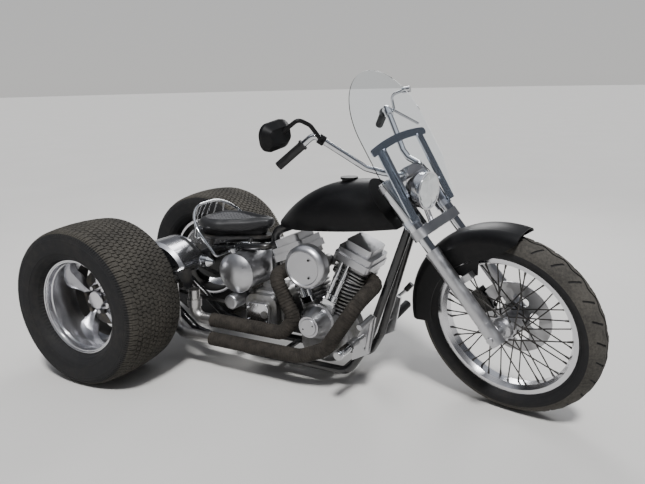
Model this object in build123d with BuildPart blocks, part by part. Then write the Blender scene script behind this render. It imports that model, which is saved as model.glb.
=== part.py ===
from build123d import *
import os
from math import acos, asin, atan2, cos, degrees, radians, sin, sqrt, tan

# Custom V-twin trike: one raked, steered wire wheel in front and two wide wheels behind.
# Millimetres. X points forward, Y to the left, Z up, and the floor is Z = 0.
# Lengths along X are given ahead of the rear axle.

# Overall layout
WHEELBASE = 1675
REAR_TRACK = 888
RAKE = 38.9
FORK_OFFSET = 62
PARKED_STEER = -15.9
SEAT_GAP = 0.3

# Front tyre and rim
FRONT_TYRE_R = 364
FRONT_TYRE_W = 120
FRONT_SHOULDER_R = 312
FRONT_RIM_R = 280
FRONT_RIM_W = 70
FRONT_RIM_INNER_R = 250
FRONT_BEAD_R = 267
HUB_FLANGE_R = 52
HUB_FLANGE_Y = 36
HUB_BARREL_R = 33
FRONT_AXLE_R = 12.5
SPOKE_R = 2.0
SPOKES_PER_SET = 10
SPOKE_SWEEP = 62
DISC_R = 146
DISC_Y = 60
DISC_T = 5

# Rear tyre and wheel
REAR_TYRE_R = 346
REAR_TYRE_W = 329
REAR_RIM_R = 207.5
REAR_RIM_W = 236
REAR_BARREL_R = 186
REAR_HUB_R = 62
REAR_SPOKES = 5
REAR_SPOKE_W = 46
REAR_SPOKE_T = 34
STUD_CIRCLE_R = 60.325
STUD_R = 7
DRUM_R = 128
DRUM_L = 58

# Frame tubes
FRAME_TUBE_R = 17.5
BACKBONE_R = 20
NECK_R = 27
NECK_LOW = 487
NECK_HIGH = 650
RAIL_Y = 75
RAIL_R = 15.5
CRADLE_Y = 108
CRADLE_Z = 76
CONTROL_Y = 128
SEAT_TUBE_X = 645
SEAT_TUBE_FOOT = 388
DOWNTUBE_TOP_Y = 24
AXLE_TUBE_R = 38
AXLE_PLATE_T = 12
SPINDLE_R = 18
AXLE_CASE_R = 78
AXLE_CASE_L = 66
AXLE_CASE_Y = 10

# Engine
CRANK_X = 914
CRANK_Z = 192
V_HALF_ANGLE = 22.5
CASE_R = 118
CASE_HALF_W = 60
CYL_DECK = 128
FIN_COUNT = 10
FIN_PITCH = 17
FIN_T = 6
FIN_R = 78
BARREL_R = 50
HEAD_H = 70
ROCKER_L = 166
ROCKER_W = 196
ROCKER_H = 88

# Air cleaner, oil tank and exhaust
AIR_R = 90
AIR_FACE_R = 70
AIR_X = 924
AIR_Z = 545
AIR_Y = -250
AIR_DEPTH = 62
OIL_TANK_R = 86
OIL_TANK_X = 533
OIL_TANK_Z = 450.6
OIL_TANK_BARREL = 300
OIL_TANK_DOME = 36
PIPE_R = 25
WRAP_R = 31
PIPE_Y = -212
WRAP_END_X = 425

# Final drive belt
BELT_Y = 40
BELT_W = 30

# Rear covers
COVER_R = 160
COVER_X = 188
COVER_Z = 420
COVER_CUT_Z = 484
COVER_INNER_Y = 100
COVER_OUTER_Y = 270

# Fork
LEG_Y = 112
SLIDER_R = 27
TUBE_R = 20.5
SHROUD_R = 29
SLIDER_TOP = 385
LOW_CLAMP = 460
TOP_CLAMP = 672
CLAMP_T = 38
TOP_CLAMP_T = 26
STEM_R = 14
STEM_NUT_R = 18
STEM_NUT_H = 20
NUT_NECK = 1.5
MUDGUARD_GAP = 31
MUDGUARD_T = 3
MUDGUARD_HALF_W = 78
BAR_R = 12.7
GRIP_R = 17
LAMP_R = 73
SHIELD_HALF_W = 205
SHIELD_LEAN = 28
SHIELD_T = 4


# Steering geometry. The parked tyre leans, and its round crown stands on the floor.
crown_rise = FRONT_TYRE_R - FRONT_SHOULDER_R
CROWN_R = ((FRONT_TYRE_W / 2) ** 2 + crown_rise**2) / (2 * crown_rise)
lean = asin(sin(radians(RAKE)) * sin(radians(abs(PARKED_STEER))))
steer_turn = radians(abs(PARKED_STEER))
AXLE_DROP = FORK_OFFSET * (1 - cos(steer_turn)) * sin(radians(RAKE))
FRONT_AXLE_Z = (FRONT_TYRE_R - CROWN_R) * cos(lean) + CROWN_R + AXLE_DROP

# The overall length runs from the rear tyre's back to the turned front tyre's nose.
AXLE_PULL = FORK_OFFSET * (1 - cos(steer_turn)) * cos(radians(RAKE))
axle_dir_x = cos(radians(RAKE)) * sin(steer_turn)
FRONT_REACH = (FRONT_TYRE_R - CROWN_R) * sqrt(1 - axle_dir_x**2) + CROWN_R
REAR_X = -(WHEELBASE - AXLE_PULL + FRONT_REACH - REAR_TYRE_R) / 2
FRONT_X = REAR_X + WHEELBASE

FORK_FORWARD = Vector(cos(radians(RAKE)), 0, sin(radians(RAKE)))
FORK_UP = Vector(-sin(radians(RAKE)), 0, cos(radians(RAKE)))
FRONT_AXLE = Vector(FRONT_X, 0, FRONT_AXLE_Z)
STEERING_FOOT = FRONT_AXLE - FORK_FORWARD * FORK_OFFSET
STEERING_AXIS = Axis(STEERING_FOOT, FORK_UP)


def ahead(distance):
    """The X of a point at a distance ahead of the rear axle."""
    return REAR_X + distance


def behind(distance):
    """The X of a point at a distance behind the front axle, wheels straight."""
    return FRONT_X - distance


def on_fork(up, forward=0, side=0):
    """A point up the fork legs from the front axle, forward of them and to the left."""
    return FRONT_AXLE + FORK_UP * up + FORK_FORWARD * forward + Vector(0, side, 0)


def fork_level(up, forward=0, side=0):
    """The plane square to the fork legs at a height up them, with its X forward."""
    return Plane(on_fork(up, forward, side), x_dir=FORK_FORWARD, z_dir=FORK_UP)


def side_plane(x, y, z):
    """A plane facing right, with its X forward and its Y up."""
    return Plane((x, y, z), x_dir=(1, 0, 0), z_dir=(0, -1, 0))


def park(piece):
    """Turn a piece built straight ahead to the angle that the steering is parked at."""
    piece.part = piece.part.rotate(STEERING_AXIS, PARKED_STEER)


def add_tube(points, radius, bend):
    """Add a round tube along straight runs joined by tangent bends to the open part."""
    with BuildLine() as centre_line:
        if len(points) == 2:
            Line(*points)
        else:
            FilletPolyline(*points, radius=bend)
    start = Plane(centre_line.line @ 0, z_dir=centre_line.line % 0)
    with BuildSketch(start) as section:
        Circle(radius)
    sweep(section.sketch, path=centre_line.line)


def add_rod(start, end, radius):
    """Add a straight round rod between two points to the open part."""
    span = Vector(*end) - Vector(*start)
    with BuildSketch(Plane(start, z_dir=span)) as section:
        Circle(radius)
    extrude(section.sketch, amount=span.length)


os.makedirs("parts", exist_ok=True)

# Front tyre: a round crown on short sidewalls
front_wheel_axis = Axis(FRONT_AXLE, (0, 1, 0))
with BuildPart() as front_tyre:
    with BuildSketch(Plane(FRONT_AXLE, x_dir=(0, 1, 0), z_dir=(-1, 0, 0))):
        with BuildLine():
            half_bead = FRONT_RIM_W / 2 - 3
            half_tyre = FRONT_TYRE_W / 2
            sidewall_r = FRONT_RIM_R + SEAT_GAP
            shoulder = (half_tyre, FRONT_SHOULDER_R)
            bulge = (half_tyre - 6, FRONT_SHOULDER_R - 20)
            ThreePointArc((-shoulder[0], shoulder[1]), (0, FRONT_TYRE_R), shoulder)
            ThreePointArc(shoulder, bulge, (half_bead + 3, sidewall_r))
            Polyline(
                (half_bead + 3, sidewall_r),
                (half_bead, sidewall_r),
                (half_bead, FRONT_BEAD_R),
                (-half_bead, FRONT_BEAD_R),
                (-half_bead, sidewall_r),
                (-half_bead - 3, sidewall_r),
            )
            ThreePointArc((-half_bead - 3, sidewall_r), (-bulge[0], bulge[1]), (-shoulder[0], shoulder[1]))
        make_face()
    revolve(axis=front_wheel_axis)
park(front_tyre)
front_tyre.part.label = "front_tyre"
export_step(front_tyre.part, "parts/front_tyre.step")

# Front rim: flanges, bead seats and a drop centre in polished alloy
with BuildPart() as front_rim:
    with BuildSketch(Plane(FRONT_AXLE, x_dir=(0, 1, 0), z_dir=(-1, 0, 0))):
        with BuildLine():
            half_rim = FRONT_RIM_W / 2
            seat_y = half_rim - 3 + SEAT_GAP
            seat_r = FRONT_BEAD_R - SEAT_GAP
            Polyline(
                (-half_rim, FRONT_RIM_R),
                (-seat_y, FRONT_RIM_R),
                (-seat_y, seat_r),
                (-14, seat_r),
                (-10, FRONT_RIM_INNER_R + 5),
                (10, FRONT_RIM_INNER_R + 5),
                (14, seat_r),
                (seat_y, seat_r),
                (seat_y, FRONT_RIM_R),
                (half_rim, FRONT_RIM_R),
                (half_rim, FRONT_BEAD_R - 5),
                (16, FRONT_RIM_INNER_R),
                (-16, FRONT_RIM_INNER_R),
                (-half_rim, FRONT_BEAD_R - 5),
                close=True,
            )
        make_face()
    revolve(axis=front_wheel_axis)
park(front_rim)
front_rim.part.label = "front_rim"
export_step(front_rim.part, "parts/front_rim.step")

# Front hub: barrel, two spoke flanges and a domed right end, bored for the axle
with BuildPart() as front_hub:
    with BuildSketch(Plane(FRONT_AXLE, x_dir=(0, 1, 0), z_dir=(-1, 0, 0))):
        with BuildLine():
            bore = FRONT_AXLE_R + SEAT_GAP
            right_end = -(HUB_FLANGE_Y + 28)
            left_end = DISC_Y - SEAT_GAP
            Polyline(
                (right_end, bore),
                (right_end, 24),
                (right_end + 10, 36),
                (-HUB_FLANGE_Y - 3, 42),
                (-HUB_FLANGE_Y - 3, HUB_FLANGE_R),
                (-HUB_FLANGE_Y + 3, HUB_FLANGE_R),
                (-HUB_FLANGE_Y + 3, HUB_BARREL_R),
                (HUB_FLANGE_Y - 3, HUB_BARREL_R),
                (HUB_FLANGE_Y - 3, HUB_FLANGE_R),
                (HUB_FLANGE_Y + 3, HUB_FLANGE_R),
                (HUB_FLANGE_Y + 3, 44),
                (left_end, 44),
                (left_end, bore),
                close=True,
            )
        make_face()
    revolve(axis=front_wheel_axis)
park(front_hub)
front_hub.part.label = "front_hub"
export_step(front_hub.part, "parts/front_hub.step")

# Front spokes: four crossed sets, laced from the hub flanges to the rim
with BuildPart() as front_spokes:
    pitch = 360 / SPOKES_PER_SET
    # columns: flange side, sweep direction, first angle, hub Y, rim Y
    spoke_sets = [
        (-1, 1, 0, HUB_FLANGE_Y + 6.8, 13),
        (-1, -1, pitch / 2, HUB_FLANGE_Y - 6, 5),
        (1, 1, pitch / 4, HUB_FLANGE_Y + 6.8, 13),
        (1, -1, pitch * 3 / 4, HUB_FLANGE_Y - 6, 5),
    ]
    hub_end_r = HUB_FLANGE_R - 5
    rim_end_r = FRONT_RIM_INNER_R - 1
    for flange, sweep_way, first, hub_y, rim_y in spoke_sets:
        for number in range(SPOKES_PER_SET):
            rim_angle = radians(first + number * pitch)
            hub_angle = rim_angle - radians(SPOKE_SWEEP) * sweep_way
            hub_end = FRONT_AXLE + Vector(
                hub_end_r * cos(hub_angle), flange * hub_y, hub_end_r * sin(hub_angle)
            )
            rim_end = FRONT_AXLE + Vector(
                rim_end_r * cos(rim_angle), flange * rim_y, rim_end_r * sin(rim_angle)
            )
            add_rod(hub_end, rim_end, SPOKE_R)
park(front_spokes)
front_spokes.part.label = "front_spokes"
export_step(front_spokes.part, "parts/front_spokes.step")

# Front brake disc, drilled, on the hub's left end
with BuildPart() as front_brake_disc:
    with BuildSketch(side_plane(FRONT_X, DISC_Y, FRONT_AXLE_Z)):
        Circle(DISC_R)
        Circle(FRONT_AXLE_R + 8, mode=Mode.SUBTRACT)
        with PolarLocations(78, 5):
            SlotOverall(66, 36, rotation=90, mode=Mode.SUBTRACT)
    extrude(amount=-DISC_T)
park(front_brake_disc)
front_brake_disc.part.label = "front_brake_disc"
export_step(front_brake_disc.part, "parts/front_brake_disc.step")

# Rear wheels, one on each side
for side_name, side in (("right", -1), ("left", 1)):
    centre = Vector(REAR_X, side * REAR_TRACK / 2, REAR_TYRE_R)
    wheel_axis = Axis(centre, (0, 1, 0))
    # In this section plane X is outboard along the axle and Y is the radius.
    section_plane = Plane(centre, x_dir=(0, side, 0), z_dir=(-side, 0, 0))

    with BuildPart() as rear_tyre:
        with BuildSketch(section_plane):
            with BuildLine():
                tread_half = REAR_TYRE_W / 2 - 26
                tread_edge_r = REAR_TYRE_R - 10
                bead_half = REAR_RIM_W / 2 - 6
                bead_r = REAR_RIM_R - 12
                wall_r = REAR_RIM_R + SEAT_GAP
                widest = (REAR_TYRE_W / 2, (REAR_RIM_R + REAR_TYRE_R) / 2 + 4)
                ThreePointArc((-tread_half, tread_edge_r), (0, REAR_TYRE_R), (tread_half, tread_edge_r))
                ThreePointArc((tread_half, tread_edge_r), (tread_half + 20, tread_edge_r - 18), widest)
                ThreePointArc(widest, (widest[0] - 8, wall_r + 28), (bead_half + 4, wall_r))
                Polyline(
                    (bead_half + 4, wall_r),
                    (bead_half, wall_r),
                    (bead_half, bead_r),
                    (-bead_half, bead_r),
                    (-bead_half, wall_r),
                    (-bead_half - 4, wall_r),
                )
                ThreePointArc((-bead_half - 4, wall_r), (-widest[0] + 8, wall_r + 28), (-widest[0], widest[1]))
                ThreePointArc(
                    (-widest[0], widest[1]), (-tread_half - 20, tread_edge_r - 18), (-tread_half, tread_edge_r)
                )
            make_face()
        revolve(axis=wheel_axis)
    rear_tyre.part.label = f"rear_tyre_{side_name}"
    export_step(rear_tyre.part, f"parts/rear_tyre_{side_name}.step")

    with BuildPart() as rear_wheel:
        with BuildSketch(section_plane):
            with BuildLine():
                flange_y = REAR_RIM_W / 2
                seat_y = flange_y - 6 + SEAT_GAP
                seat_r = REAR_RIM_R - 12 - SEAT_GAP
                Polyline(
                    (flange_y, REAR_RIM_R),
                    (seat_y, REAR_RIM_R),
                    (seat_y, seat_r),
                    (-seat_y, seat_r),
                    (-seat_y, REAR_RIM_R),
                    (-flange_y, REAR_RIM_R),
                    (-flange_y, REAR_BARREL_R + 6),
                    (-flange_y + 16, REAR_BARREL_R),
                    (flange_y - 30, REAR_BARREL_R),
                    (flange_y - 22, REAR_BARREL_R + 5),
                    (flange_y - 8, REAR_BARREL_R + 6),
                    (flange_y - 3, REAR_BARREL_R + 12),
                    (flange_y, REAR_BARREL_R + 13),
                    close=True,
                )
            make_face()
        revolve(axis=wheel_axis)
        face_plane = Plane(centre, x_dir=(side, 0, 0), z_dir=(0, side, 0))
        with BuildSketch(face_plane.offset(-REAR_SPOKE_T)):
            Circle(REAR_HUB_R + 18)
            with PolarLocations(0, REAR_SPOKES, start_angle=90):
                Polygon(
                    (0, -REAR_SPOKE_W / 2 - 8),
                    (REAR_BARREL_R + 2, -REAR_SPOKE_W / 2),
                    (REAR_BARREL_R + 2, REAR_SPOKE_W / 2),
                    (0, REAR_SPOKE_W / 2 + 8),
                    align=None,
                )
        extrude(amount=REAR_SPOKE_T)
        with BuildSketch(face_plane):
            Circle(34)
        extrude(amount=16, taper=12)
        with BuildSketch(face_plane):
            with PolarLocations(STUD_CIRCLE_R, REAR_SPOKES, start_angle=90 + 36):
                Circle(STUD_R + SEAT_GAP)
        extrude(amount=-REAR_SPOKE_T, mode=Mode.SUBTRACT)
    rear_wheel.part.label = f"rear_wheel_{side_name}"
    export_step(rear_wheel.part, f"parts/rear_wheel_{side_name}.step")

    # Brake drum with the wheel studs, inboard of the wheel's centre
    with BuildPart() as rear_drum:
        with BuildSketch(face_plane.offset(-REAR_SPOKE_T)):
            Circle(DRUM_R)
        extrude(amount=-DRUM_L)
        chamfer(rear_drum.edges().filter_by(GeomType.CIRCLE), 6)
        with BuildSketch(face_plane.offset(-REAR_SPOKE_T)):
            with PolarLocations(STUD_CIRCLE_R, REAR_SPOKES, start_angle=90 + 36):
                Circle(STUD_R)
        extrude(amount=REAR_SPOKE_T + 14)
        with BuildSketch(face_plane.offset(SEAT_GAP)):
            with PolarLocations(STUD_CIRCLE_R, REAR_SPOKES, start_angle=90 + 36):
                RegularPolygon(10.5, 6)
        extrude(amount=16)
        with BuildSketch(face_plane.offset(-REAR_SPOKE_T - DRUM_L)):
            Circle(SPINDLE_R + SEAT_GAP)
        extrude(amount=DRUM_L - 6, mode=Mode.SUBTRACT)
    rear_drum.part.label = f"rear_drum_{side_name}"
    export_step(rear_drum.part, f"parts/rear_drum_{side_name}.step")

# Rear axle: housing tube, centre case and backing plates that the drums turn beside
drum_inner_y = REAR_TRACK / 2 - REAR_SPOKE_T - DRUM_L
with BuildPart() as axle_housing:
    with BuildSketch(side_plane(REAR_X, 0, REAR_TYRE_R)):
        Circle(AXLE_TUBE_R)
    extrude(amount=drum_inner_y - 1, both=True)
    with BuildSketch(side_plane(REAR_X, AXLE_CASE_Y, REAR_TYRE_R)):
        Circle(AXLE_CASE_R)
    extrude(amount=AXLE_CASE_L)
    chamfer(axle_housing.edges().filter_by(GeomType.CIRCLE).sort_by(SortBy.RADIUS)[-2:], 12)
    with BuildSketch(side_plane(REAR_X, BELT_Y, REAR_TYRE_R)):
        Circle(AXLE_TUBE_R + 14)
    extrude(amount=BELT_W / 2 + 3, both=True)
    for side in (-1, 1):
        with BuildSketch(side_plane(REAR_X, side * (drum_inner_y - 1), REAR_TYRE_R)):
            Circle(DRUM_R - 6)
        extrude(amount=side * 7)
        add_rod(
            (REAR_X, side * (drum_inner_y - 8), REAR_TYRE_R),
            (REAR_X, side * (drum_inner_y + DRUM_L - 8), REAR_TYRE_R),
            SPINDLE_R,
        )
axle_housing.part.label = "axle_housing"
export_step(axle_housing.part, "parts/axle_housing.step")

# Main frame: neck, backbone, two downtubes and the cradle rails under the engine
neck_low = STEERING_FOOT + FORK_UP * NECK_LOW
neck_high = STEERING_FOOT + FORK_UP * NECK_HIGH
backbone_start = STEERING_FOOT + FORK_UP * (NECK_LOW + 85)
downtube_start = STEERING_FOOT + FORK_UP * (NECK_LOW + 46)
with BuildPart() as frame_main:
    add_rod(neck_low, neck_high, NECK_R)
    add_tube(
        [
            (backbone_start.X, 0, backbone_start.Z),
            (ahead(836), 0, 694),
            (ahead(648), 0, 618),
            (ahead(SEAT_TUBE_X), 0, SEAT_TUBE_FOOT),
        ],
        BACKBONE_R,
        [260, 50],
    )
    for side in (-1, 1):
        add_tube(
            [
                (downtube_start.X, side * DOWNTUBE_TOP_Y, downtube_start.Z),
                (ahead(1118), side * CRADLE_Y * 0.72, 190),
                (ahead(1050), side * CRADLE_Y, CRADLE_Z),
                (ahead(560), side * CRADLE_Y, CRADLE_Z),
                (ahead(260), side * CRADLE_Y, 130),
                (ahead(27), side * CRADLE_Y, REAR_TYRE_R - 27.5),
            ],
            FRAME_TUBE_R,
            [90, 70, 200, 120],
        )
        for lug_x, lug_y, lug_z in ((1104, 84, 172), (1136, 70, 246)):
            add_rod(
                (ahead(lug_x), side * lug_y, lug_z),
                (ahead(lug_x), side * CONTROL_Y, lug_z),
                12,
            )
    with BuildSketch(Plane.XY.offset(CRADLE_Z)):
        for cross_x in (1030, 700):
            with Locations((ahead(cross_x), 0)):
                Rectangle(26, 2 * CRADLE_Y)
    extrude(amount=10)
    neck_hole = Plane(neck_low, x_dir=FORK_FORWARD, z_dir=FORK_UP)
    with BuildSketch(neck_hole) as hole_section:
        Circle(STEM_R + 1)
    extrude(hole_section.sketch, amount=NECK_HIGH - NECK_LOW, mode=Mode.SUBTRACT)
frame_main.part.label = "frame_main"
export_step(frame_main.part, "parts/frame_main.step")

# Rear frame: seat rails from the backbone to the axle plates
with BuildPart() as frame_rear:
    for side in (-1, 1):
        add_tube(
            [
                (ahead(SEAT_TUBE_X), side * (BACKBONE_R + SEAT_GAP), 562),
                (ahead(SEAT_TUBE_X), side * RAIL_Y, 562),
                (ahead(390), side * RAIL_Y, 541),
                (ahead(90), side * RAIL_Y, 402),
                (ahead(20), side * RAIL_Y, REAR_TYRE_R + 10),
            ],
            RAIL_R,
            [24, 200, 60],
        )
        with BuildSketch(side_plane(REAR_X, side * (CRADLE_Y - 24), REAR_TYRE_R)):
            Circle(74)
            with Locations((20, 0)):
                Rectangle(90, 120)
        extrude(amount=AXLE_PLATE_T / 2, both=True)
    with BuildSketch(side_plane(REAR_X, 0, REAR_TYRE_R)):
        Circle(AXLE_TUBE_R + SEAT_GAP)
    extrude(amount=CRADLE_Y, both=True, mode=Mode.SUBTRACT)
frame_rear.part.label = "frame_rear"
export_step(frame_rear.part, "parts/frame_rear.step")

# Engine. Each cylinder has its own plane, square to its bore and centred on the crank.
crank_centre = Vector(ahead(CRANK_X), 0, CRANK_Z)
HEAD_LOW = CYL_DECK + FIN_COUNT * FIN_PITCH
ROCKER_LOW = HEAD_LOW + HEAD_H + SEAT_GAP


def bore_plane(lean_way, height=0, across=0, side=0):
    """The plane square to the front (1) or rear (-1) bore, its X forward across the V."""
    tilt = radians(V_HALF_ANGLE) * lean_way
    up = Vector(sin(tilt), 0, cos(tilt))
    over = Vector(cos(tilt), 0, -sin(tilt))
    origin = crank_centre + up * height + over * across + Vector(0, side, 0)
    return Plane(origin, x_dir=over, z_dir=up)


# Crankcase with its cylinder decks and the timing chest on the right
CHEST_X = 930
CHEST_Z = 238
CHEST_R = 84
CHEST_Y = 124
LIFTER_LOW = 168
with BuildPart() as crankcase:
    with BuildSketch(side_plane(0, 0, 0)):
        with Locations((ahead(CRANK_X), CRANK_Z)):
            Circle(CASE_R)
    extrude(amount=CASE_HALF_W, both=True)
    chamfer(crankcase.edges().filter_by(GeomType.CIRCLE), 8)
    for lean_way in (1, -1):
        with BuildSketch(bore_plane(lean_way)):
            RectangleRounded(96, 112, 20)
        extrude(amount=CYL_DECK)
    with BuildSketch(side_plane(0, -CASE_HALF_W + 10, 0)):
        with BuildLine():
            CenterArc((ahead(CHEST_X), CHEST_Z), CHEST_R, 0, 360)
            CenterArc((ahead(CRANK_X), CRANK_Z), CHEST_R - 8, 0, 360)
        make_hull()
    extrude(amount=CHEST_Y - CASE_HALF_W + 10)
    for lean_way in (1, -1):
        with BuildSketch(bore_plane(lean_way, 40, -lean_way * 21, -CHEST_Y + 18)):
            RectangleRounded(66, 34, 6)
        extrude(amount=LIFTER_LOW - 40)
crankcase.part.label = "crankcase"
export_step(crankcase.part, "parts/crankcase.step")

# Cylinders: finned barrels and square finned heads, trimmed where the V closes
with BuildPart() as cylinders:
    for lean_way in (1, -1):
        with BuildSketch(bore_plane(lean_way, CYL_DECK + SEAT_GAP)):
            Circle(BARREL_R - 2)
        extrude(amount=HEAD_LOW - CYL_DECK + HEAD_H - SEAT_GAP)
        for fin in range(FIN_COUNT):
            fin_height = CYL_DECK + 8 + fin * FIN_PITCH
            v_limit = fin_height * tan(radians(V_HALF_ANGLE)) - 3
            with BuildSketch(bore_plane(lean_way, fin_height)):
                Circle(FIN_R)
                with Locations((lean_way * (FIN_R - v_limit) / 2, 0)):
                    Rectangle(FIN_R + v_limit, 2 * FIN_R, mode=Mode.INTERSECT)
            extrude(amount=FIN_T)
        for fin in range(3):
            with BuildSketch(bore_plane(lean_way, HEAD_LOW + fin * 14)):
                RectangleRounded(2 * FIN_R, 2 * FIN_R - 4, 26)
            extrude(amount=FIN_T)
        with BuildSketch(bore_plane(lean_way, HEAD_LOW)):
            RectangleRounded(2 * FIN_R - 34, 2 * FIN_R - 34, 18)
        extrude(amount=HEAD_H)
        with BuildSketch(bore_plane(lean_way, HEAD_LOW + HEAD_H - 22)):
            RectangleRounded(2 * FIN_R, 2 * FIN_R - 4, 26)
        extrude(amount=22)
cylinders.part.label = "cylinders"
export_step(cylinders.part, "parts/cylinders.step")

# Rocker boxes: a stepped polished stack on each head
with BuildPart() as rocker_boxes:
    # columns: height of the step's foot, its height, length trimmed, width trimmed
    rocker_steps = [(0, 30, 0, 0), (30, 26, 10, 14), (56, ROCKER_H - 56, 44, 46)]
    for lean_way in (1, -1):
        for foot, rise, less_l, less_w in rocker_steps:
            with BuildSketch(bore_plane(lean_way, ROCKER_LOW + foot, 0, -5)):
                RectangleRounded(ROCKER_L - less_l, ROCKER_W - less_w, 18)
            extrude(amount=rise)
rocker_boxes.part.label = "rocker_boxes"
export_step(rocker_boxes.part, "parts/rocker_boxes.step")

# Pushrod tubes on their lifter blocks
with BuildPart() as pushrod_tubes:
    for lean_way in (1, -1):
        with BuildSketch(bore_plane(lean_way, LIFTER_LOW + SEAT_GAP, -lean_way * 21, -CHEST_Y + 18)):
            RectangleRounded(58, 30, 5)
        extrude(amount=26)
        for across in (-lean_way * 36, -lean_way * 6):
            foot = bore_plane(lean_way, LIFTER_LOW + 24, across, -CHEST_Y + 18).origin
            top = bore_plane(lean_way, ROCKER_LOW - 1.2, across, -91).origin
            add_rod(foot, top, 9)
            add_rod(foot, foot + (top - foot) * 0.16, 13)
            add_rod(foot + (top - foot) * 0.55, foot + (top - foot) * 0.6, 12)
pushrod_tubes.part.label = "pushrod_tubes"
export_step(pushrod_tubes.part, "parts/pushrod_tubes.step")

# Cam cover: a tapered nose on its flange, right of the timing chest
NOSE_X = 918
NOSE_Z = 284
NOSE_R = 66
NOSE_L = 84
with BuildPart() as cam_cover:
    with BuildSketch(side_plane(ahead(NOSE_X), -CHEST_Y - SEAT_GAP, NOSE_Z)):
        Circle(NOSE_R + 10)
    extrude(amount=7)
    with BuildSketch(cam_cover.faces().sort_by(Axis.Y)[0]):
        Circle(NOSE_R)
    extrude(amount=NOSE_L - 10, taper=16)
    with BuildSketch(cam_cover.faces().sort_by(Axis.Y)[0]):
        Circle(36)
    extrude(amount=6)
    fillet(cam_cover.edges().filter_by(GeomType.CIRCLE).group_by(Axis.Y)[0], 3)
cam_cover.part.label = "cam_cover"
export_step(cam_cover.part, "parts/cam_cover.step")

# Carburettor and manifold, from the ports inside the V out to the air cleaner
PORT_H = HEAD_LOW + 26
port_front = bore_plane(1, PORT_H, -FIN_R - SEAT_GAP, -12).origin
port_rear = bore_plane(-1, PORT_H, FIN_R + SEAT_GAP, -12).origin
with BuildPart() as carburettor:
    manifold_gap = (port_front - port_rear).normalized() * 9
    add_rod(port_rear + manifold_gap, port_front - manifold_gap, 21)
    with BuildSketch(side_plane(ahead(AIR_X) - 6, port_front.Y, port_front.Z)):
        Circle(26)
    extrude(amount=70)
    with BuildSketch(side_plane(ahead(AIR_X) - 6, port_front.Y - 70, port_front.Z)):
        RectangleRounded(78, 84, 14)
    extrude(amount=52)
    with BuildSketch(side_plane(ahead(AIR_X) - 6, port_front.Y - 122, port_front.Z)):
        Circle(32)
    extrude(amount=-(AIR_Y + AIR_DEPTH) + port_front.Y - 122 - SEAT_GAP)
carburettor.part.label = "carburettor"
export_step(carburettor.part, "parts/carburettor.step")

# Air cleaner: backplate and a spun cover with a wide bevel and two cover screws
with BuildPart() as air_cleaner:
    with BuildSketch(Plane((ahead(AIR_X), AIR_Y, AIR_Z), x_dir=(0, 1, 0), z_dir=(-1, 0, 0))):
        with BuildLine():
            Polyline(
                (AIR_DEPTH, 0),
                (AIR_DEPTH, AIR_R - 8),
                (AIR_DEPTH - 6, AIR_R - 8),
                (AIR_DEPTH - 8, AIR_R),
                (AIR_DEPTH - 36, AIR_R),
            )
            ThreePointArc((AIR_DEPTH - 36, AIR_R), (10, AIR_R - 6), (0, AIR_FACE_R))
            Polyline((0, AIR_FACE_R), (4, AIR_FACE_R - 4), (4, 0), (AIR_DEPTH, 0))
        make_face()
    revolve(axis=Axis((ahead(AIR_X), AIR_Y, AIR_Z), (0, 1, 0)))
    with BuildSketch(side_plane(ahead(AIR_X), AIR_Y + 4, AIR_Z)):
        with Locations((26, 36), (26, -36)):
            Circle(7)
    extrude(amount=3)
air_cleaner.part.label = "air_cleaner"
export_step(air_cleaner.part, "parts/air_cleaner.step")

# Exhaust: two wrapped header pipes on the right, and their bare tails turned up
LOW_PIPE_Z = 152
HIGH_PIPE_Z = 234
HIGH_PIPE_Y = PIPE_Y + 16
TAIL_TOP_Z = 384
front_port = bore_plane(1, HEAD_LOW + 34, FIN_R + SEAT_GAP, -40)
rear_port = bore_plane(-1, HEAD_LOW + 28, -34, -FIN_R - 2)
with BuildPart() as exhaust_wraps:
    add_tube(
        [
            front_port.origin,
            front_port.origin + front_port.x_dir * 40,
            (ahead(1146), PIPE_Y, 426),
            (ahead(1000), PIPE_Y, 205),
            (ahead(880), PIPE_Y, LOW_PIPE_Z),
            (ahead(WRAP_END_X), PIPE_Y, LOW_PIPE_Z),
        ],
        WRAP_R,
        [34, 60, 110, 120],
    )
    add_tube(
        [
            rear_port.origin,
            rear_port.origin + Vector(0, HIGH_PIPE_Y + FIN_R + 2, 0),
            (ahead(850), HIGH_PIPE_Y, 306),
            (ahead(786), HIGH_PIPE_Y, HIGH_PIPE_Z),
            (ahead(WRAP_END_X), HIGH_PIPE_Y, HIGH_PIPE_Z),
        ],
        WRAP_R,
        [44, 46, 46],
    )
exhaust_wraps.part.label = "exhaust_wraps"
export_step(exhaust_wraps.part, "parts/exhaust_wraps.step")

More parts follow.
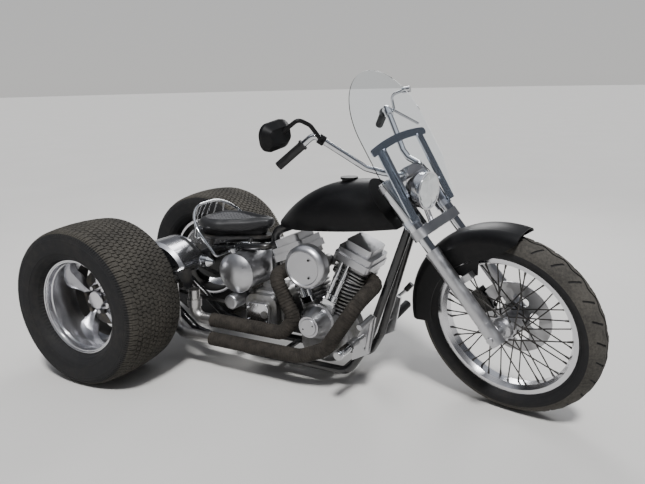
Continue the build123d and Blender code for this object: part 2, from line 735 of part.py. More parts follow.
with BuildPart() as exhaust_pipes:
    add_tube(
        [
            (ahead(WRAP_END_X) - SEAT_GAP, PIPE_Y, LOW_PIPE_Z),
            (ahead(224), PIPE_Y, LOW_PIPE_Z),
            (ahead(224), PIPE_Y, TAIL_TOP_Z),
        ],
        PIPE_R,
        72,
    )
    add_tube(
        [
            (ahead(WRAP_END_X) - SEAT_GAP, HIGH_PIPE_Y, HIGH_PIPE_Z),
            (ahead(324), HIGH_PIPE_Y, HIGH_PIPE_Z),
            (ahead(330), HIGH_PIPE_Y, TAIL_TOP_Z - 20),
        ],
        PIPE_R,
        52,
    )
    with BuildSketch(Plane((ahead(328), HIGH_PIPE_Y, 288), z_dir=(0.05, 0, 1))):
        Circle(PIPE_R + 7)
    extrude(amount=34)
    for tail_x, tail_y, tail_z in ((224, PIPE_Y, TAIL_TOP_Z), (330, HIGH_PIPE_Y, TAIL_TOP_Z - 20)):
        with BuildSketch(Plane((ahead(tail_x), tail_y, tail_z + 4), x_dir=(1, 0, 0))):
            Circle(PIPE_R - 2.5)
        extrude(amount=-40, mode=Mode.SUBTRACT)
exhaust_pipes.part.label = "exhaust_pipes"
export_step(exhaust_pipes.part, "parts/exhaust_pipes.step")

# Transmission: ribbed case, polished side cover with the clutch cable boss
TRANS_X = 640
TRANS_Z = 281
FILTER_R = 33
FILTER_X = 524
FILTER_Z = 328
with BuildPart() as transmission:
    with BuildSketch(side_plane(ahead(TRANS_X), 0, TRANS_Z)):
        RectangleRounded(176, 168, 34)
    extrude(amount=92, both=True)
    chamfer(transmission.faces().filter_by(Axis.Y).edges(), 8)
    with BuildSketch(side_plane(ahead(TRANS_X) - 4, -90, TRANS_Z - 2)):
        RectangleRounded(158, 156, 40)
    extrude(amount=34)
    with BuildSketch(side_plane(ahead(TRANS_X) - 10, -124, TRANS_Z - 6)):
        RectangleRounded(118, 110, 30)
    extrude(amount=14)
    with BuildSketch(side_plane(ahead(667), -120, 279)):
        Circle(17)
    extrude(amount=32)
    with BuildSketch(Plane.XY.offset(TRANS_Z + 78)):
        with Locations((ahead(TRANS_X) + 12, -16)):
            RectangleRounded(100, 84, 16)
    extrude(amount=SEAT_TUBE_FOOT - SEAT_GAP - TRANS_Z - 78)
    with BuildSketch(side_plane(ahead(FILTER_X), -84, FILTER_Z)):
        Circle(FILTER_R - 5)
    extrude(amount=22)
    with BuildSketch(side_plane(ahead(FILTER_X + 22), -84, FILTER_Z - 8)):
        Rectangle(40, 36)
    extrude(amount=-60)
transmission.part.label = "transmission"
export_step(transmission.part, "parts/transmission.step")

# Primary cover: a long oval case over the engine and clutch shafts on the left
PRIMARY_INNER_Y = CASE_HALF_W + SEAT_GAP + 32
with BuildPart() as primary_cover:
    with BuildSketch(side_plane(0, PRIMARY_INNER_Y, 0)):
        with BuildLine():
            CenterArc((ahead(CRANK_X), CRANK_Z), 90, 0, 360)
            CenterArc((ahead(TRANS_X), 232), 118, 0, 360)
        make_hull()
    extrude(amount=-62)
    fillet(primary_cover.faces().sort_by(Axis.Y)[-1].edges(), 16)
    with BuildSketch(Plane((ahead(TRANS_X), PRIMARY_INNER_Y + 62, 232), x_dir=(-1, 0, 0), z_dir=(0, 1, 0))):
        Circle(72)
    extrude(amount=6)
    with BuildSketch(side_plane(ahead(CRANK_X), PRIMARY_INNER_Y, CRANK_Z)):
        Circle(70)
    extrude(amount=32)
primary_cover.part.label = "primary_cover"
export_step(primary_cover.part, "parts/primary_cover.step")

# Final drive: a belt round the gearbox pulley and the axle pulley
PULLEY_X = 470
PULLEY_Z = 262
BELT_T = 6
AXLE_PULLEY_R = 98
GEARBOX_PULLEY_R = 40
belt_run = Vector(ahead(PULLEY_X), PULLEY_Z) - Vector(REAR_X, REAR_TYRE_R)
belt_slope = degrees(atan2(belt_run.Y, belt_run.X))
belt_wrap = degrees(acos((AXLE_PULLEY_R - GEARBOX_PULLEY_R) / belt_run.length))
with BuildPart() as final_drive:
    for thickness, mode in ((BELT_T, Mode.ADD), (0, Mode.SUBTRACT)):
        with BuildSketch(side_plane(0, BELT_Y, 0)):
            with BuildLine():
                rear_arc = CenterArc(
                    (REAR_X, REAR_TYRE_R),
                    AXLE_PULLEY_R + thickness,
                    belt_slope + belt_wrap,
                    360 - 2 * belt_wrap,
                )
                front_arc = CenterArc(
                    (ahead(PULLEY_X), PULLEY_Z),
                    GEARBOX_PULLEY_R + thickness,
                    belt_slope - belt_wrap,
                    2 * belt_wrap,
                )
                Line(rear_arc @ 1, front_arc @ 0)
                Line(front_arc @ 1, rear_arc @ 0)
            make_face()
        extrude(amount=BELT_W / 2, both=True, mode=mode)
    with BuildSketch(side_plane(REAR_X, BELT_Y, REAR_TYRE_R)):
        Circle(AXLE_PULLEY_R - SEAT_GAP)
        Circle(AXLE_TUBE_R + 14 + SEAT_GAP, mode=Mode.SUBTRACT)
    extrude(amount=BELT_W / 2 + 3, both=True)
    with BuildSketch(side_plane(ahead(PULLEY_X), BELT_Y, PULLEY_Z)):
        Circle(GEARBOX_PULLEY_R - SEAT_GAP)
    extrude(amount=BELT_W / 2 + 3, both=True)
    add_rod((ahead(PULLEY_X), BELT_Y, PULLEY_Z), (ahead(PULLEY_X), 4, PULLEY_Z), 16)
    add_rod((ahead(PULLEY_X), 4, PULLEY_Z), (ahead(TRANS_X) - 88 - SEAT_GAP, 4, PULLEY_Z), 20)
final_drive.part.label = "final_drive"
export_step(final_drive.part, "parts/final_drive.step")

# Oil tank: a spun barrel across the frame with domed ends and rolled seams
with BuildPart() as oil_tank:
    with BuildSketch(Plane((ahead(OIL_TANK_X), 0, OIL_TANK_Z), x_dir=(0, 1, 0), z_dir=(-1, 0, 0))):
        with BuildLine():
            half_barrel = OIL_TANK_BARREL / 2
            dome_end = half_barrel + OIL_TANK_DOME
            dome_rise = OIL_TANK_DOME - 3
            dome_r = (OIL_TANK_R**2 + dome_rise**2) / (2 * dome_rise)
            dome_turn = degrees(asin(OIL_TANK_R / dome_r))
            Line((-dome_end, 0), (dome_end, 0))
            CenterArc((dome_end - dome_r, 0), dome_r, 0, dome_turn)
            Polyline(
                (half_barrel + 3, OIL_TANK_R),
                (half_barrel + 3, OIL_TANK_R + 2),
                (half_barrel - 3, OIL_TANK_R + 2),
                (half_barrel - 3, OIL_TANK_R),
                (-half_barrel + 3, OIL_TANK_R),
                (-half_barrel + 3, OIL_TANK_R + 2),
                (-half_barrel - 3, OIL_TANK_R + 2),
                (-half_barrel - 3, OIL_TANK_R),
            )
            CenterArc((dome_r - dome_end, 0), dome_r, 180 - dome_turn, dome_turn)
        make_face()
    revolve(axis=Axis((ahead(OIL_TANK_X), 0, OIL_TANK_Z), (0, 1, 0)))
oil_tank.part.label = "oil_tank"
export_step(oil_tank.part, "parts/oil_tank.step")

# Oil fittings: the filler neck and cap on the tank, and the spin-on filter
cap_dir = Vector(-0.3, 0, 1).normalized()
cap_foot = Vector(ahead(OIL_TANK_X), -128, OIL_TANK_Z) + cap_dir * (OIL_TANK_R + SEAT_GAP)
with BuildPart() as oil_cap:
    with BuildSketch(Plane(cap_foot, z_dir=cap_dir)):
        Circle(15)
    extrude(amount=12)
    with BuildSketch(Plane(cap_foot + cap_dir * 8, z_dir=cap_dir)):
        Circle(20)
    extrude(amount=11)
oil_cap.part.label = "oil_cap"
export_step(oil_cap.part, "parts/oil_cap.step")

with BuildPart() as oil_filter:
    with BuildSketch(side_plane(ahead(FILTER_X), -106 - SEAT_GAP, FILTER_Z)):
        Circle(FILTER_R)
    extrude(amount=88)
    fillet(oil_filter.faces().sort_by(Axis.Y)[0].edges(), 10)
oil_filter.part.label = "oil_filter"
export_step(oil_filter.part, "parts/oil_filter.step")

# Fuel tank: a teardrop loft, flat underneath, slanted in front and tunnelled for the backbone
with BuildPart() as fuel_tank:
    # columns: distance ahead, half width, half height, centre height
    tank_sections = [
        (684, 16, 12, 662),
        (740, 78, 62, 668),
        (830, 126, 106, 694),
        (950, 148, 132, 720),
        (1060, 150, 140, 732),
        (1160, 130, 140, 736),
        (1290, 92, 132, 736),
    ]
    for distance, half_w, half_h, centre_z in tank_sections:
        with BuildSketch(Plane((ahead(distance), 0, centre_z), x_dir=(0, 1, 0), z_dir=(1, 0, 0))):
            Ellipse(half_w, half_h)
    loft()
    with BuildSketch(side_plane(REAR_X, 0, 0)):
        with BuildLine():
            Polyline((660, 655), (820, 662), (1320, 704), (1320, 500), (660, 500), close=True)
        make_face()
    extrude(amount=200, both=True, mode=Mode.SUBTRACT)
    with BuildSketch(side_plane(REAR_X, 0, 0)):
        with BuildLine():
            Polyline((668, 600), (668, 664), (830, 717), (1320, 812), (1320, 600), close=True)
        make_face()
    extrude(amount=BACKBONE_R + SEAT_GAP, both=True, mode=Mode.SUBTRACT)
    neck_side = Plane(STEERING_FOOT - FORK_FORWARD * 52, x_dir=(0, 1, 0), z_dir=FORK_FORWARD)
    split(bisect_by=neck_side, keep=Keep.BOTTOM)
fuel_tank.part.label = "fuel_tank"
export_step(fuel_tank.part, "parts/fuel_tank.step")

# Fuel cap, on the tank's crown
with BuildPart() as fuel_cap:
    with BuildSketch(Plane.XY.offset(858)):
        with Locations((ahead(1010), 0)):
            Circle(30)
    extrude(amount=16)
    with BuildSketch(Plane.XY.offset(868)):
        with Locations((ahead(1010), 0)):
            Circle(36)
    extrude(amount=9)
    add(fuel_tank.part, mode=Mode.SUBTRACT)
fuel_cap.part.label = "fuel_cap"
export_step(fuel_cap.part, "parts/fuel_cap.step")

# Solo seat: pan with its posts, and the pad
SEAT_PAN_Z = 586
SEAT_PAN_T = 10
SEAT_REAR_X = 330
SEAT_REAR_R = 134
SEAT_NOSE_X = 600
SEAT_NOSE_R = 50
with BuildPart() as seat_pan:
    with BuildSketch(Plane.XY.offset(SEAT_PAN_Z)):
        with BuildLine():
            CenterArc((ahead(SEAT_REAR_X + 60), 0), SEAT_REAR_R, 0, 360)
            CenterArc((ahead(SEAT_NOSE_X - 24), 0), SEAT_NOSE_R - 4, 0, 360)
        make_hull()
    extrude(amount=SEAT_PAN_T)
    for post_x, post_foot in ((350, 545), (560, 573)):
        for side in (-1, 1):
            add_rod(
                (ahead(post_x), side * RAIL_Y, post_foot),
                (ahead(post_x), side * (RAIL_Y - 8), SEAT_PAN_Z + 2),
                9,
            )
seat_pan.part.label = "seat_pan"
export_step(seat_pan.part, "parts/seat_pan.step")

with BuildPart() as seat_pad:
    with BuildSketch(side_plane(REAR_X, 0, 0)):
        with BuildLine():
            pad_foot = SEAT_PAN_Z + SEAT_PAN_T + SEAT_GAP
            Polyline((262, 640), (254, 616), (262, pad_foot), (604, pad_foot), (612, 652), (656, 652))
            Line((656, 652), (656, 664))
            ThreePointArc((656, 664), (640, 686), (612, 684))
            ThreePointArc((612, 684), (480, 671), (354, 672))
            ThreePointArc((354, 672), (290, 668), (262, 640))
        make_face()
    extrude(amount=SEAT_REAR_R + 12, both=True)
    with BuildSketch(Plane.XY.offset(pad_foot)):
        with BuildLine():
            CenterArc((ahead(SEAT_REAR_X + 60), 0), SEAT_REAR_R + 6, 0, 360)
            CenterArc((ahead(SEAT_NOSE_X), 0), SEAT_NOSE_R + 6, 0, 360)
        make_hull()
    extrude(amount=100, taper=12, mode=Mode.INTERSECT)
seat_pad.part.label = "seat_pad"
export_step(seat_pad.part, "parts/seat_pad.step")

# Seat hoop: a leaning chrome arch behind the seat with thin curved rods inside it
HOOP_LEAN = 49.3
HOOP_Z = 608
HOOP_X = 380
HOOP_W = 181
HOOP_REAR = 150
HOOP_LEG = 110
HOOP_R = 6
hoop_up = Vector(-cos(radians(HOOP_LEAN)), 0, sin(radians(HOOP_LEAN)))
hoop_foot = Vector(ahead(HOOP_X), 0, HOOP_Z)
hoop_plane = Plane(hoop_foot, x_dir=(0, 1, 0), z_dir=Vector(0, 1, 0).cross(hoop_up))
with BuildPart() as seat_hoop:
    with BuildLine(hoop_plane) as hoop_line:
        leg_end = RAIL_Y + RAIL_R + SEAT_GAP
        FilletPolyline(
            (leg_end, -HOOP_LEG),
            (HOOP_W, -HOOP_LEG),
            (HOOP_W, HOOP_REAR),
            (-HOOP_W, HOOP_REAR),
            (-HOOP_W, -HOOP_LEG),
            (-leg_end, -HOOP_LEG),
            radius=[14, HOOP_REAR, HOOP_REAR, 14],
        )
    hoop_wire = hoop_line.wire()
    with BuildSketch(Plane(hoop_wire @ 0, z_dir=hoop_wire % 0)) as hoop_section:
        Circle(HOOP_R)
    sweep(hoop_section.sketch, path=hoop_wire)
    rod_ring = SEAT_REAR_R + 14
    for reach in (-105, -70, -35, 0, 35, 70, 105):
        past_flat = max(0, abs(reach) - HOOP_W + HOOP_REAR)
        top = hoop_foot + hoop_up * sqrt(HOOP_REAR**2 - past_flat**2) + Vector(0, reach, 0)
        rod_x = ahead(SEAT_REAR_X + 60) - sqrt(rod_ring**2 - reach**2)
        add_tube([top, (rod_x, reach, 656), (rod_x, reach, SEAT_PAN_Z - 4)], 3, 22)
    with BuildSketch(Plane.XY.offset(SEAT_PAN_Z - SEAT_GAP)):
        with Locations((ahead(SEAT_REAR_X + 60), 0)):
            Circle(rod_ring + 6)
            Circle(rod_ring - 26, mode=Mode.SUBTRACT)
            with Locations((130, 0)):
                Rectangle(400, 400, mode=Mode.SUBTRACT)
    extrude(amount=-4)
seat_hoop.part.label = "seat_hoop"
export_step(seat_hoop.part, "parts/seat_hoop.step")

# Rear covers: half drums over the axle with a meshed slot near each inner end
SLOT_IN = 22
SLOT_W = 26
for side_name, side in (("right", -1), ("left", 1)):
    outboard = Plane((ahead(COVER_X), side * COVER_INNER_Y, COVER_Z), x_dir=(0, side, 0), z_dir=(-side, 0, 0))
    cover_length = COVER_OUTER_Y - COVER_INNER_Y
    with BuildPart() as axle_cover:
        with BuildSketch(outboard):
            with BuildLine():
                Polyline(
                    (0, 0),
                    (0, COVER_R - 12),
                    (12, COVER_R),
                    (SLOT_IN, COVER_R),
                    (SLOT_IN, COVER_R - 8),
                    (SLOT_IN + SLOT_W, COVER_R - 8),
                    (SLOT_IN + SLOT_W, COVER_R),
                    (cover_length - 14, COVER_R),
                    (cover_length, COVER_R - 14),
                    (cover_length, 0),
                    close=True,
                )
            make_face()
        revolve(axis=Axis(outboard.origin, (0, 1, 0)))
        with BuildSketch(Plane.XY.offset(COVER_CUT_Z)):
            with Locations((ahead(COVER_X), side * (COVER_INNER_Y + cover_length / 2))):
                Rectangle(3 * COVER_R, cover_length + 20)
        extrude(amount=-2 * COVER_R, mode=Mode.SUBTRACT)
    axle_cover.part.label = f"axle_cover_{side_name}"
    export_step(axle_cover.part, f"parts/axle_cover_{side_name}.step")

# Cover brackets: a cross bar under the front edge of each cover, with a light plate below it.
# The bar runs just in front of the rear tyres.
BAR_T = 14
BAR_DEPTH = 17
BAR_CLEARANCE = 12
bar_over_axle = COVER_CUT_Z - BAR_T - REAR_TYRE_R
BAR_FRONT_X = sqrt(REAR_TYRE_R**2 - bar_over_axle**2) + BAR_CLEARANCE + BAR_DEPTH
with BuildPart() as cover_brackets:
    for side in (-1, 1):
        bar_inner = RAIL_Y + RAIL_R + SEAT_GAP
        bar_outer = COVER_OUTER_Y + 62
        bar_steps = ((2 * BAR_DEPTH, COVER_OUTER_Y), (BAR_DEPTH, bar_outer))
        for depth, outer_y in bar_steps:
            with BuildSketch(Plane.XY.offset(COVER_CUT_Z - SEAT_GAP)):
                with Locations((ahead(BAR_FRONT_X - depth / 2), side * (bar_inner + outer_y) / 2)):
                    Rectangle(depth, outer_y - bar_inner)
            extrude(amount=-BAR_T)
        with BuildSketch(Plane.XY.offset(COVER_CUT_Z - SEAT_GAP - BAR_T)):
            with Locations((ahead(BAR_FRONT_X - BAR_DEPTH), side * (bar_inner + 4))):
                Rectangle(2 * BAR_DEPTH, 8)
        extrude(amount=50)
        with BuildSketch(Plane((ahead(BAR_FRONT_X), 0, 0), x_dir=(0, side, 0), z_dir=(-side, 0, 0))):
            plate_z = COVER_CUT_Z - 6
            Polygon((238, -plate_z), (bar_outer, -plate_z), (280, 88 - plate_z), (234, 88 - plate_z), align=None)
        extrude(amount=-side * 4)
cover_brackets.part.label = "cover_brackets"
export_step(cover_brackets.part, "parts/cover_brackets.step")

# Marker lamps: bullet bodies pointing forward from the cross bars
MARKER_R = 25
MARKER_Y = 150
with BuildPart() as marker_lamps:
    for side in (-1, 1):
        lamp_back = Plane((ahead(BAR_FRONT_X) + SEAT_GAP, side * MARKER_Y, 487), x_dir=(0, 1, 0), z_dir=(1, 0, 0))
        with BuildSketch(lamp_back):
            Circle(MARKER_R)
        extrude(amount=34)
        with BuildSketch(lamp_back.offset(34)):
            Circle(MARKER_R)
        extrude(amount=26, taper=32)
        with BuildSketch(lamp_back):
            Circle(MARKER_R + 3)
        extrude(amount=7)
marker_lamps.part.label = "marker_lamps"
export_step(marker_lamps.part, "parts/marker_lamps.step")

# Foot controls on each side: mounting plate, peg and pedal. The two sides are set differently.
# columns: rod radius, then each end as distance ahead, distance outboard and height
foot_rods = {
    "right": [
        (9, (1134, CONTROL_Y + 8, 262), (1124, 184, 256)),
        (17, (1124, 184, 256), (1102, 310, 232)),
        (9, (1142, CONTROL_Y + 8, 206), (1158, 156, 214)),
        (7, (1154, 154, 206), (1182, 160, 362)),
        (12, (1181, 160, 356), (1166, 246, 338)),
    ],
    "left": [
        (9, (1106, CONTROL_Y + 8, 190), (1102, 180, 194)),
        (17, (1102, 180, 194), (1151, 310, 259)),
        (8, (1150, CONTROL_Y + 8, 300), (1134, 200, 314)),
        (7, (1132, 198, 312), (1188, 200, 364)),
        (11, (1180, 200, 356), (1207, 204, 390)),
    ],
}
for side_name, side in (("right", -1), ("left", 1)):
    plate_y = side * (CONTROL_Y + SEAT_GAP)
    with BuildPart() as foot_control:
        with BuildSketch(side_plane(REAR_X, plate_y, 0)):
            with BuildLine():
                Polyline(
                    (1186, 344),
                    (1158, 188),
                    (1082, 146),
                    (1088, 196),
                    (1112, 262),
                    (1166, 350),
                    close=True,
                )
            make_face()
        extrude(amount=-side * 14)
        for rod_r, start, end in foot_rods[side_name]:
            ends = [(ahead(x), side * y, z) for x, y, z in (start, end)]
            add_rod(*ends, rod_r)
    foot_control.part.label = f"foot_control_{side_name}"
    export_step(foot_control.part, f"parts/foot_control_{side_name}.step")

# Fork legs: sliders with the axle through them, and the bright tubes above
with BuildPart() as fork_sliders:
    for side in (-1, 1):
        with BuildSketch(fork_level(-25, 0, side * LEG_Y)):
            Circle(SLIDER_R)
        extrude(amount=SLIDER_TOP + 25)
        with BuildSketch(fork_level(-30, 0, side * LEG_Y)):
            Circle(SLIDER_R + 3)
        extrude(amount=90, taper=0.8)
        with BuildSketch(fork_level(SLIDER_TOP - 26, 0, side * LEG_Y)):
            Circle(SLIDER_R + 2)
        extrude(amount=26)
    add_rod(on_fork(0, 0, -LEG_Y - 36), on_fork(0, 0, LEG_Y + 36), FRONT_AXLE_R)
    add_rod(on_fork(0, 0, -LEG_Y), on_fork(0, 0, -HUB_FLANGE_Y - 28 - SEAT_GAP), 20)
    add_rod(on_fork(0, 0, LEG_Y), on_fork(0, 0, DISC_Y + DISC_T + SEAT_GAP), 20)
park(fork_sliders)
fork_sliders.part.label = "fork_sliders"
export_step(fork_sliders.part, "parts/fork_sliders.step")

with BuildPart() as fork_tubes:
    for side in (-1, 1):
        with BuildSketch(fork_level(SLIDER_TOP + SEAT_GAP, 0, side * LEG_Y)):
            Circle(TUBE_R)
        extrude(amount=TOP_CLAMP + 20 - SLIDER_TOP)
        with BuildSketch(fork_level(TOP_CLAMP + TOP_CLAMP_T / 2 + SEAT_GAP, 0, side * LEG_Y)):
            RegularPolygon(22, 6)
        extrude(amount=10)
park(fork_tubes)
fork_tubes.part.label = "fork_tubes"
export_step(fork_tubes.part, "parts/fork_tubes.step")

# Clamps: the lower one carries the stem, the upper one closes it
with BuildPart() as lower_clamp:
    with BuildSketch(fork_level(LOW_CLAMP - CLAMP_T / 2)):
        SlotOverall(2 * (LEG_Y + 32), 64, rotation=90)
    extrude(amount=CLAMP_T)
    with BuildSketch(fork_level(LOW_CLAMP - CLAMP_T / 2 + 6)):
        with BuildLine():
            CenterArc((-FORK_OFFSET, 0), 30, 0, 360)
            CenterArc((0, 0), 60, 0, 360)
        make_hull()
        with Locations((70, 0)):
            Rectangle(90, 160, mode=Mode.SUBTRACT)
    extrude(amount=CLAMP_T - 12)
    stem_foot = on_fork(LOW_CLAMP, -FORK_OFFSET)
    add_rod(stem_foot, on_fork(TOP_CLAMP - TOP_CLAMP_T / 2 - SEAT_GAP, -FORK_OFFSET), STEM_R)
    add_rod(stem_foot, on_fork(NECK_LOW - SEAT_GAP, -FORK_OFFSET), 25)
    with BuildSketch(fork_level(LOW_CLAMP - 40)):
        with Locations((0, -LEG_Y), (0, LEG_Y)):
            Circle(TUBE_R + SEAT_GAP)
    extrude(amount=80, mode=Mode.SUBTRACT)
park(lower_clamp)
lower_clamp.part.label = "lower_clamp"
export_step(lower_clamp.part, "parts/lower_clamp.step")

with BuildPart() as upper_clamp:
    with BuildSketch(fork_level(TOP_CLAMP - TOP_CLAMP_T / 2)):
        SlotOverall(2 * (LEG_Y + 30), 60, rotation=90)
        with BuildLine():
            CenterArc((-FORK_OFFSET, 0), 28, 0, 360)
            CenterArc((-6, 0), 34, 0, 360)
        make_hull()
    extrude(amount=TOP_CLAMP_T)
    nut_foot = TOP_CLAMP + TOP_CLAMP_T / 2 + NUT_NECK
    add_rod(on_fork(TOP_CLAMP, -FORK_OFFSET), on_fork(nut_foot, -FORK_OFFSET), STEM_R)
    add_rod(on_fork(nut_foot, -FORK_OFFSET), on_fork(nut_foot + STEM_NUT_H, -FORK_OFFSET), STEM_NUT_R)
    add_rod(
        on_fork(TOP_CLAMP - TOP_CLAMP_T / 2, -FORK_OFFSET),
        on_fork(NECK_HIGH + SEAT_GAP, -FORK_OFFSET),
        25,
    )
    with BuildSketch(fork_level(TOP_CLAMP - 40)):
        with Locations((0, -LEG_Y), (0, LEG_Y)):
            Circle(TUBE_R + SEAT_GAP)
    extrude(amount=80, mode=Mode.SUBTRACT)
    with BuildSketch(fork_level(NECK_HIGH - 10, -FORK_OFFSET)):
        Circle(STEM_R + SEAT_GAP)
    extrude(amount=TOP_CLAMP - TOP_CLAMP_T / 2 - NECK_HIGH + 10, mode=Mode.SUBTRACT)
park(upper_clamp)
upper_clamp.part.label = "upper_clamp"
export_step(upper_clamp.part, "parts/upper_clamp.step")

# Bright covers over the tubes between the clamps
with BuildPart() as fork_shrouds:
    shroud_foot = LOW_CLAMP + CLAMP_T / 2 + SEAT_GAP
    with BuildSketch(fork_level(shroud_foot)):
        with Locations((0, -LEG_Y), (0, LEG_Y)):
            Circle(SHROUD_R)
            Circle(TUBE_R + SEAT_GAP, mode=Mode.SUBTRACT)
    extrude(amount=TOP_CLAMP - TOP_CLAMP_T / 2 - SEAT_GAP - shroud_foot)
park(fork_shrouds)
fork_shrouds.part.label = "fork_shrouds"
export_step(fork_shrouds.part, "parts/fork_shrouds.step")

# Front mudguard: a thin crowned blade with skirts and a lobe on each side at the brackets
MUDGUARD_R = FRONT_TYRE_R + MUDGUARD_GAP + MUDGUARD_T
GUARD_START = 79
GUARD_ARC = 107
GUARD_SKIRT_R = 288
GUARD_LOBE_R = 232
guard_start = radians(GUARD_START)
with BuildPart() as front_mudguard:
    guard_plane = Plane(FRONT_AXLE, x_dir=(0, 1, 0), z_dir=(sin(guard_start), 0, -cos(guard_start)))
    with BuildSketch(guard_plane):
        with BuildLine():
            inner_half = MUDGUARD_HALF_W - MUDGUARD_T
            inner_r = MUDGUARD_R - MUDGUARD_T
            Line((MUDGUARD_HALF_W, GUARD_SKIRT_R), (MUDGUARD_HALF_W, MUDGUARD_R - 44))
            ThreePointArc(
                (MUDGUARD_HALF_W, MUDGUARD_R - 44), (MUDGUARD_HALF_W - 16, MUDGUARD_R - 17), (40, MUDGUARD_R - 5)
            )
            ThreePointArc((40, MUDGUARD_R - 5), (0, MUDGUARD_R), (-40, MUDGUARD_R - 5))
            ThreePointArc(
                (-40, MUDGUARD_R - 5), (-MUDGUARD_HALF_W + 16, MUDGUARD_R - 17), (-MUDGUARD_HALF_W, MUDGUARD_R - 44)
            )
            Polyline(
                (-MUDGUARD_HALF_W, MUDGUARD_R - 44),
                (-MUDGUARD_HALF_W, GUARD_SKIRT_R),
                (-inner_half, GUARD_SKIRT_R),
                (-inner_half, MUDGUARD_R - 45),
            )
            ThreePointArc((-inner_half, MUDGUARD_R - 45), (-inner_half + 15, inner_r - 16), (-39, inner_r - 5))
            ThreePointArc((-39, inner_r - 5), (0, inner_r), (39, inner_r - 5))
            ThreePointArc((39, inner_r - 5), (inner_half - 15, inner_r - 16), (inner_half, MUDGUARD_R - 45))
            Line((inner_half, MUDGUARD_R - 45), (inner_half, GUARD_SKIRT_R))
            Line((inner_half, GUARD_SKIRT_R), (MUDGUARD_HALF_W, GUARD_SKIRT_R))
        make_face()
    revolve(axis=Axis(FRONT_AXLE, (0, -1, 0)), revolution_arc=GUARD_ARC)
    for side in (-1, 1):
        with BuildSketch(side_plane(FRONT_X, side * inner_half, FRONT_AXLE_Z)):
            with BuildLine():
                lobe = [(GUARD_SKIRT_R + 6, 104), (GUARD_LOBE_R, 109), (GUARD_LOBE_R, 121), (GUARD_SKIRT_R + 6, 134)]
                Polyline(*[(r * cos(radians(a)), r * sin(radians(a))) for r, a in lobe], close=True)
            make_face()
        extrude(amount=-side * MUDGUARD_T)
    with BuildSketch(side_plane(FRONT_X, 0, FRONT_AXLE_Z)):
        with BuildLine():
            front_cut = [(384, 77), (250, 70), (250, 96), (GUARD_SKIRT_R, 97)]
            Polyline(*[(r * cos(radians(a)), r * sin(radians(a))) for r, a in front_cut], close=True)
        make_face()
    extrude(amount=100, both=True, mode=Mode.SUBTRACT)
park(front_mudguard)
front_mudguard.part.label = "front_mudguard"
export_step(front_mudguard.part, "parts/front_mudguard.step")

# Mudguard brackets: a block from each slider forward to the lobe
with BuildPart() as mudguard_brackets:
    for side in (-1, 1):
        block_y = (MUDGUARD_HALF_W + SEAT_GAP + LEG_Y - 6) / 2
        block_w = LEG_Y - 6 - MUDGUARD_HALF_W - SEAT_GAP
        with BuildSketch(fork_level(220, 42, side * block_y)):
            Rectangle(60, block_w)
        extrude(amount=24)
    with BuildSketch(fork_level(200)):
        with Locations((0, -LEG_Y), (0, LEG_Y)):
            Circle(SLIDER_R + SEAT_GAP)
    extrude(amount=60, mode=Mode.SUBTRACT)
park(mudguard_brackets)
mudguard_brackets.part.label = "mudguard_brackets"
export_step(mudguard_brackets.part, "parts/mudguard_brackets.step")

# Brake caliper, over the disc behind the left leg
with BuildPart() as brake_caliper:
    with BuildSketch(fork_level(66, -74, 66)):
        RectangleRounded(52, 37, 6)
    extrude(amount=96)
    with BuildSketch(fork_level(84, -42, 86)):
        Rectangle(48, 22)
    extrude(amount=60)
    with BuildSketch(side_plane(FRONT_X, DISC_Y - 5, FRONT_AXLE_Z)):
        Circle(DISC_R + 6)
    extrude(amount=-DISC_T - 10, mode=Mode.SUBTRACT)
    with BuildSketch(fork_level(40, 0, LEG_Y)):
        Circle(SLIDER_R + SEAT_GAP)
    extrude(amount=140, mode=Mode.SUBTRACT)
park(brake_caliper)
brake_caliper.part.label = "brake_caliper"
export_step(brake_caliper.part, "parts/brake_caliper.step")

# Handlebar clamp block in front of the upper clamp, split along the bar
BAR_UP = 681
BAR_FORWARD = 50
bar_centre = on_fork(BAR_UP, BAR_FORWARD)
with BuildPart() as handlebar_clamp:
    with BuildSketch(fork_level(BAR_UP - 17, 30 + SEAT_GAP + 19, 0)):
        RectangleRounded(38, 104, 5)
    extrude(amount=34)
    add_rod(bar_centre - Vector(0, 52, 0), bar_centre + Vector(0, 52, 0), 18)
    with BuildSketch(side_plane(bar_centre.X, 0, bar_centre.Z)):
        Circle(BAR_R + SEAT_GAP)
    extrude(amount=70, both=True, mode=Mode.SUBTRACT)
    with BuildSketch(fork_level(BAR_UP - 40)):
        SlotOverall(2 * (LEG_Y + 30) + 2 * SEAT_GAP, 60 + 2 * SEAT_GAP, rotation=90)
    extrude(amount=80, mode=Mode.SUBTRACT)
park(handlebar_clamp)
handlebar_clamp.part.label = "handlebar_clamp"
export_step(handlebar_clamp.part, "parts/handlebar_clamp.step")

# Handlebar: swept up and back, with drooping ends
left_half = [
    (behind(459), 96, 938),
    (behind(503), 125, 958),
    (behind(645), 233, 1104),
    (behind(678), 260, 1074),
]
with BuildPart() as handlebar:
    right_half = [(x, -y, z) for x, y, z in reversed(left_half)]
    middle = [
        (bar_centre.X, -74, bar_centre.Z),
        (bar_centre.X, 74, bar_centre.Z),
    ]
    add_tube(right_half + middle + left_half, BAR_R, [26, 40, 40, 24, 24, 40, 40, 26])
park(handlebar)
handlebar.part.label = "handlebar"
export_step(handlebar.part, "parts/handlebar.step")

with BuildPart() as handgrips:
    for side in (-1, 1):
        grip_start = Vector(behind(678), side * 260, 1074)
        grip_dir = (Vector(behind(763), side * 330, 997) - grip_start).normalized()
        grip_foot = grip_start + grip_dir * SEAT_GAP
        add_rod(grip_foot, grip_foot + grip_dir * 8, GRIP_R + 4)
        add_rod(grip_foot, grip_foot + grip_dir * 128, GRIP_R)
park(handgrips)
handgrips.part.label = "handgrips"
export_step(handgrips.part, "parts/handgrips.step")

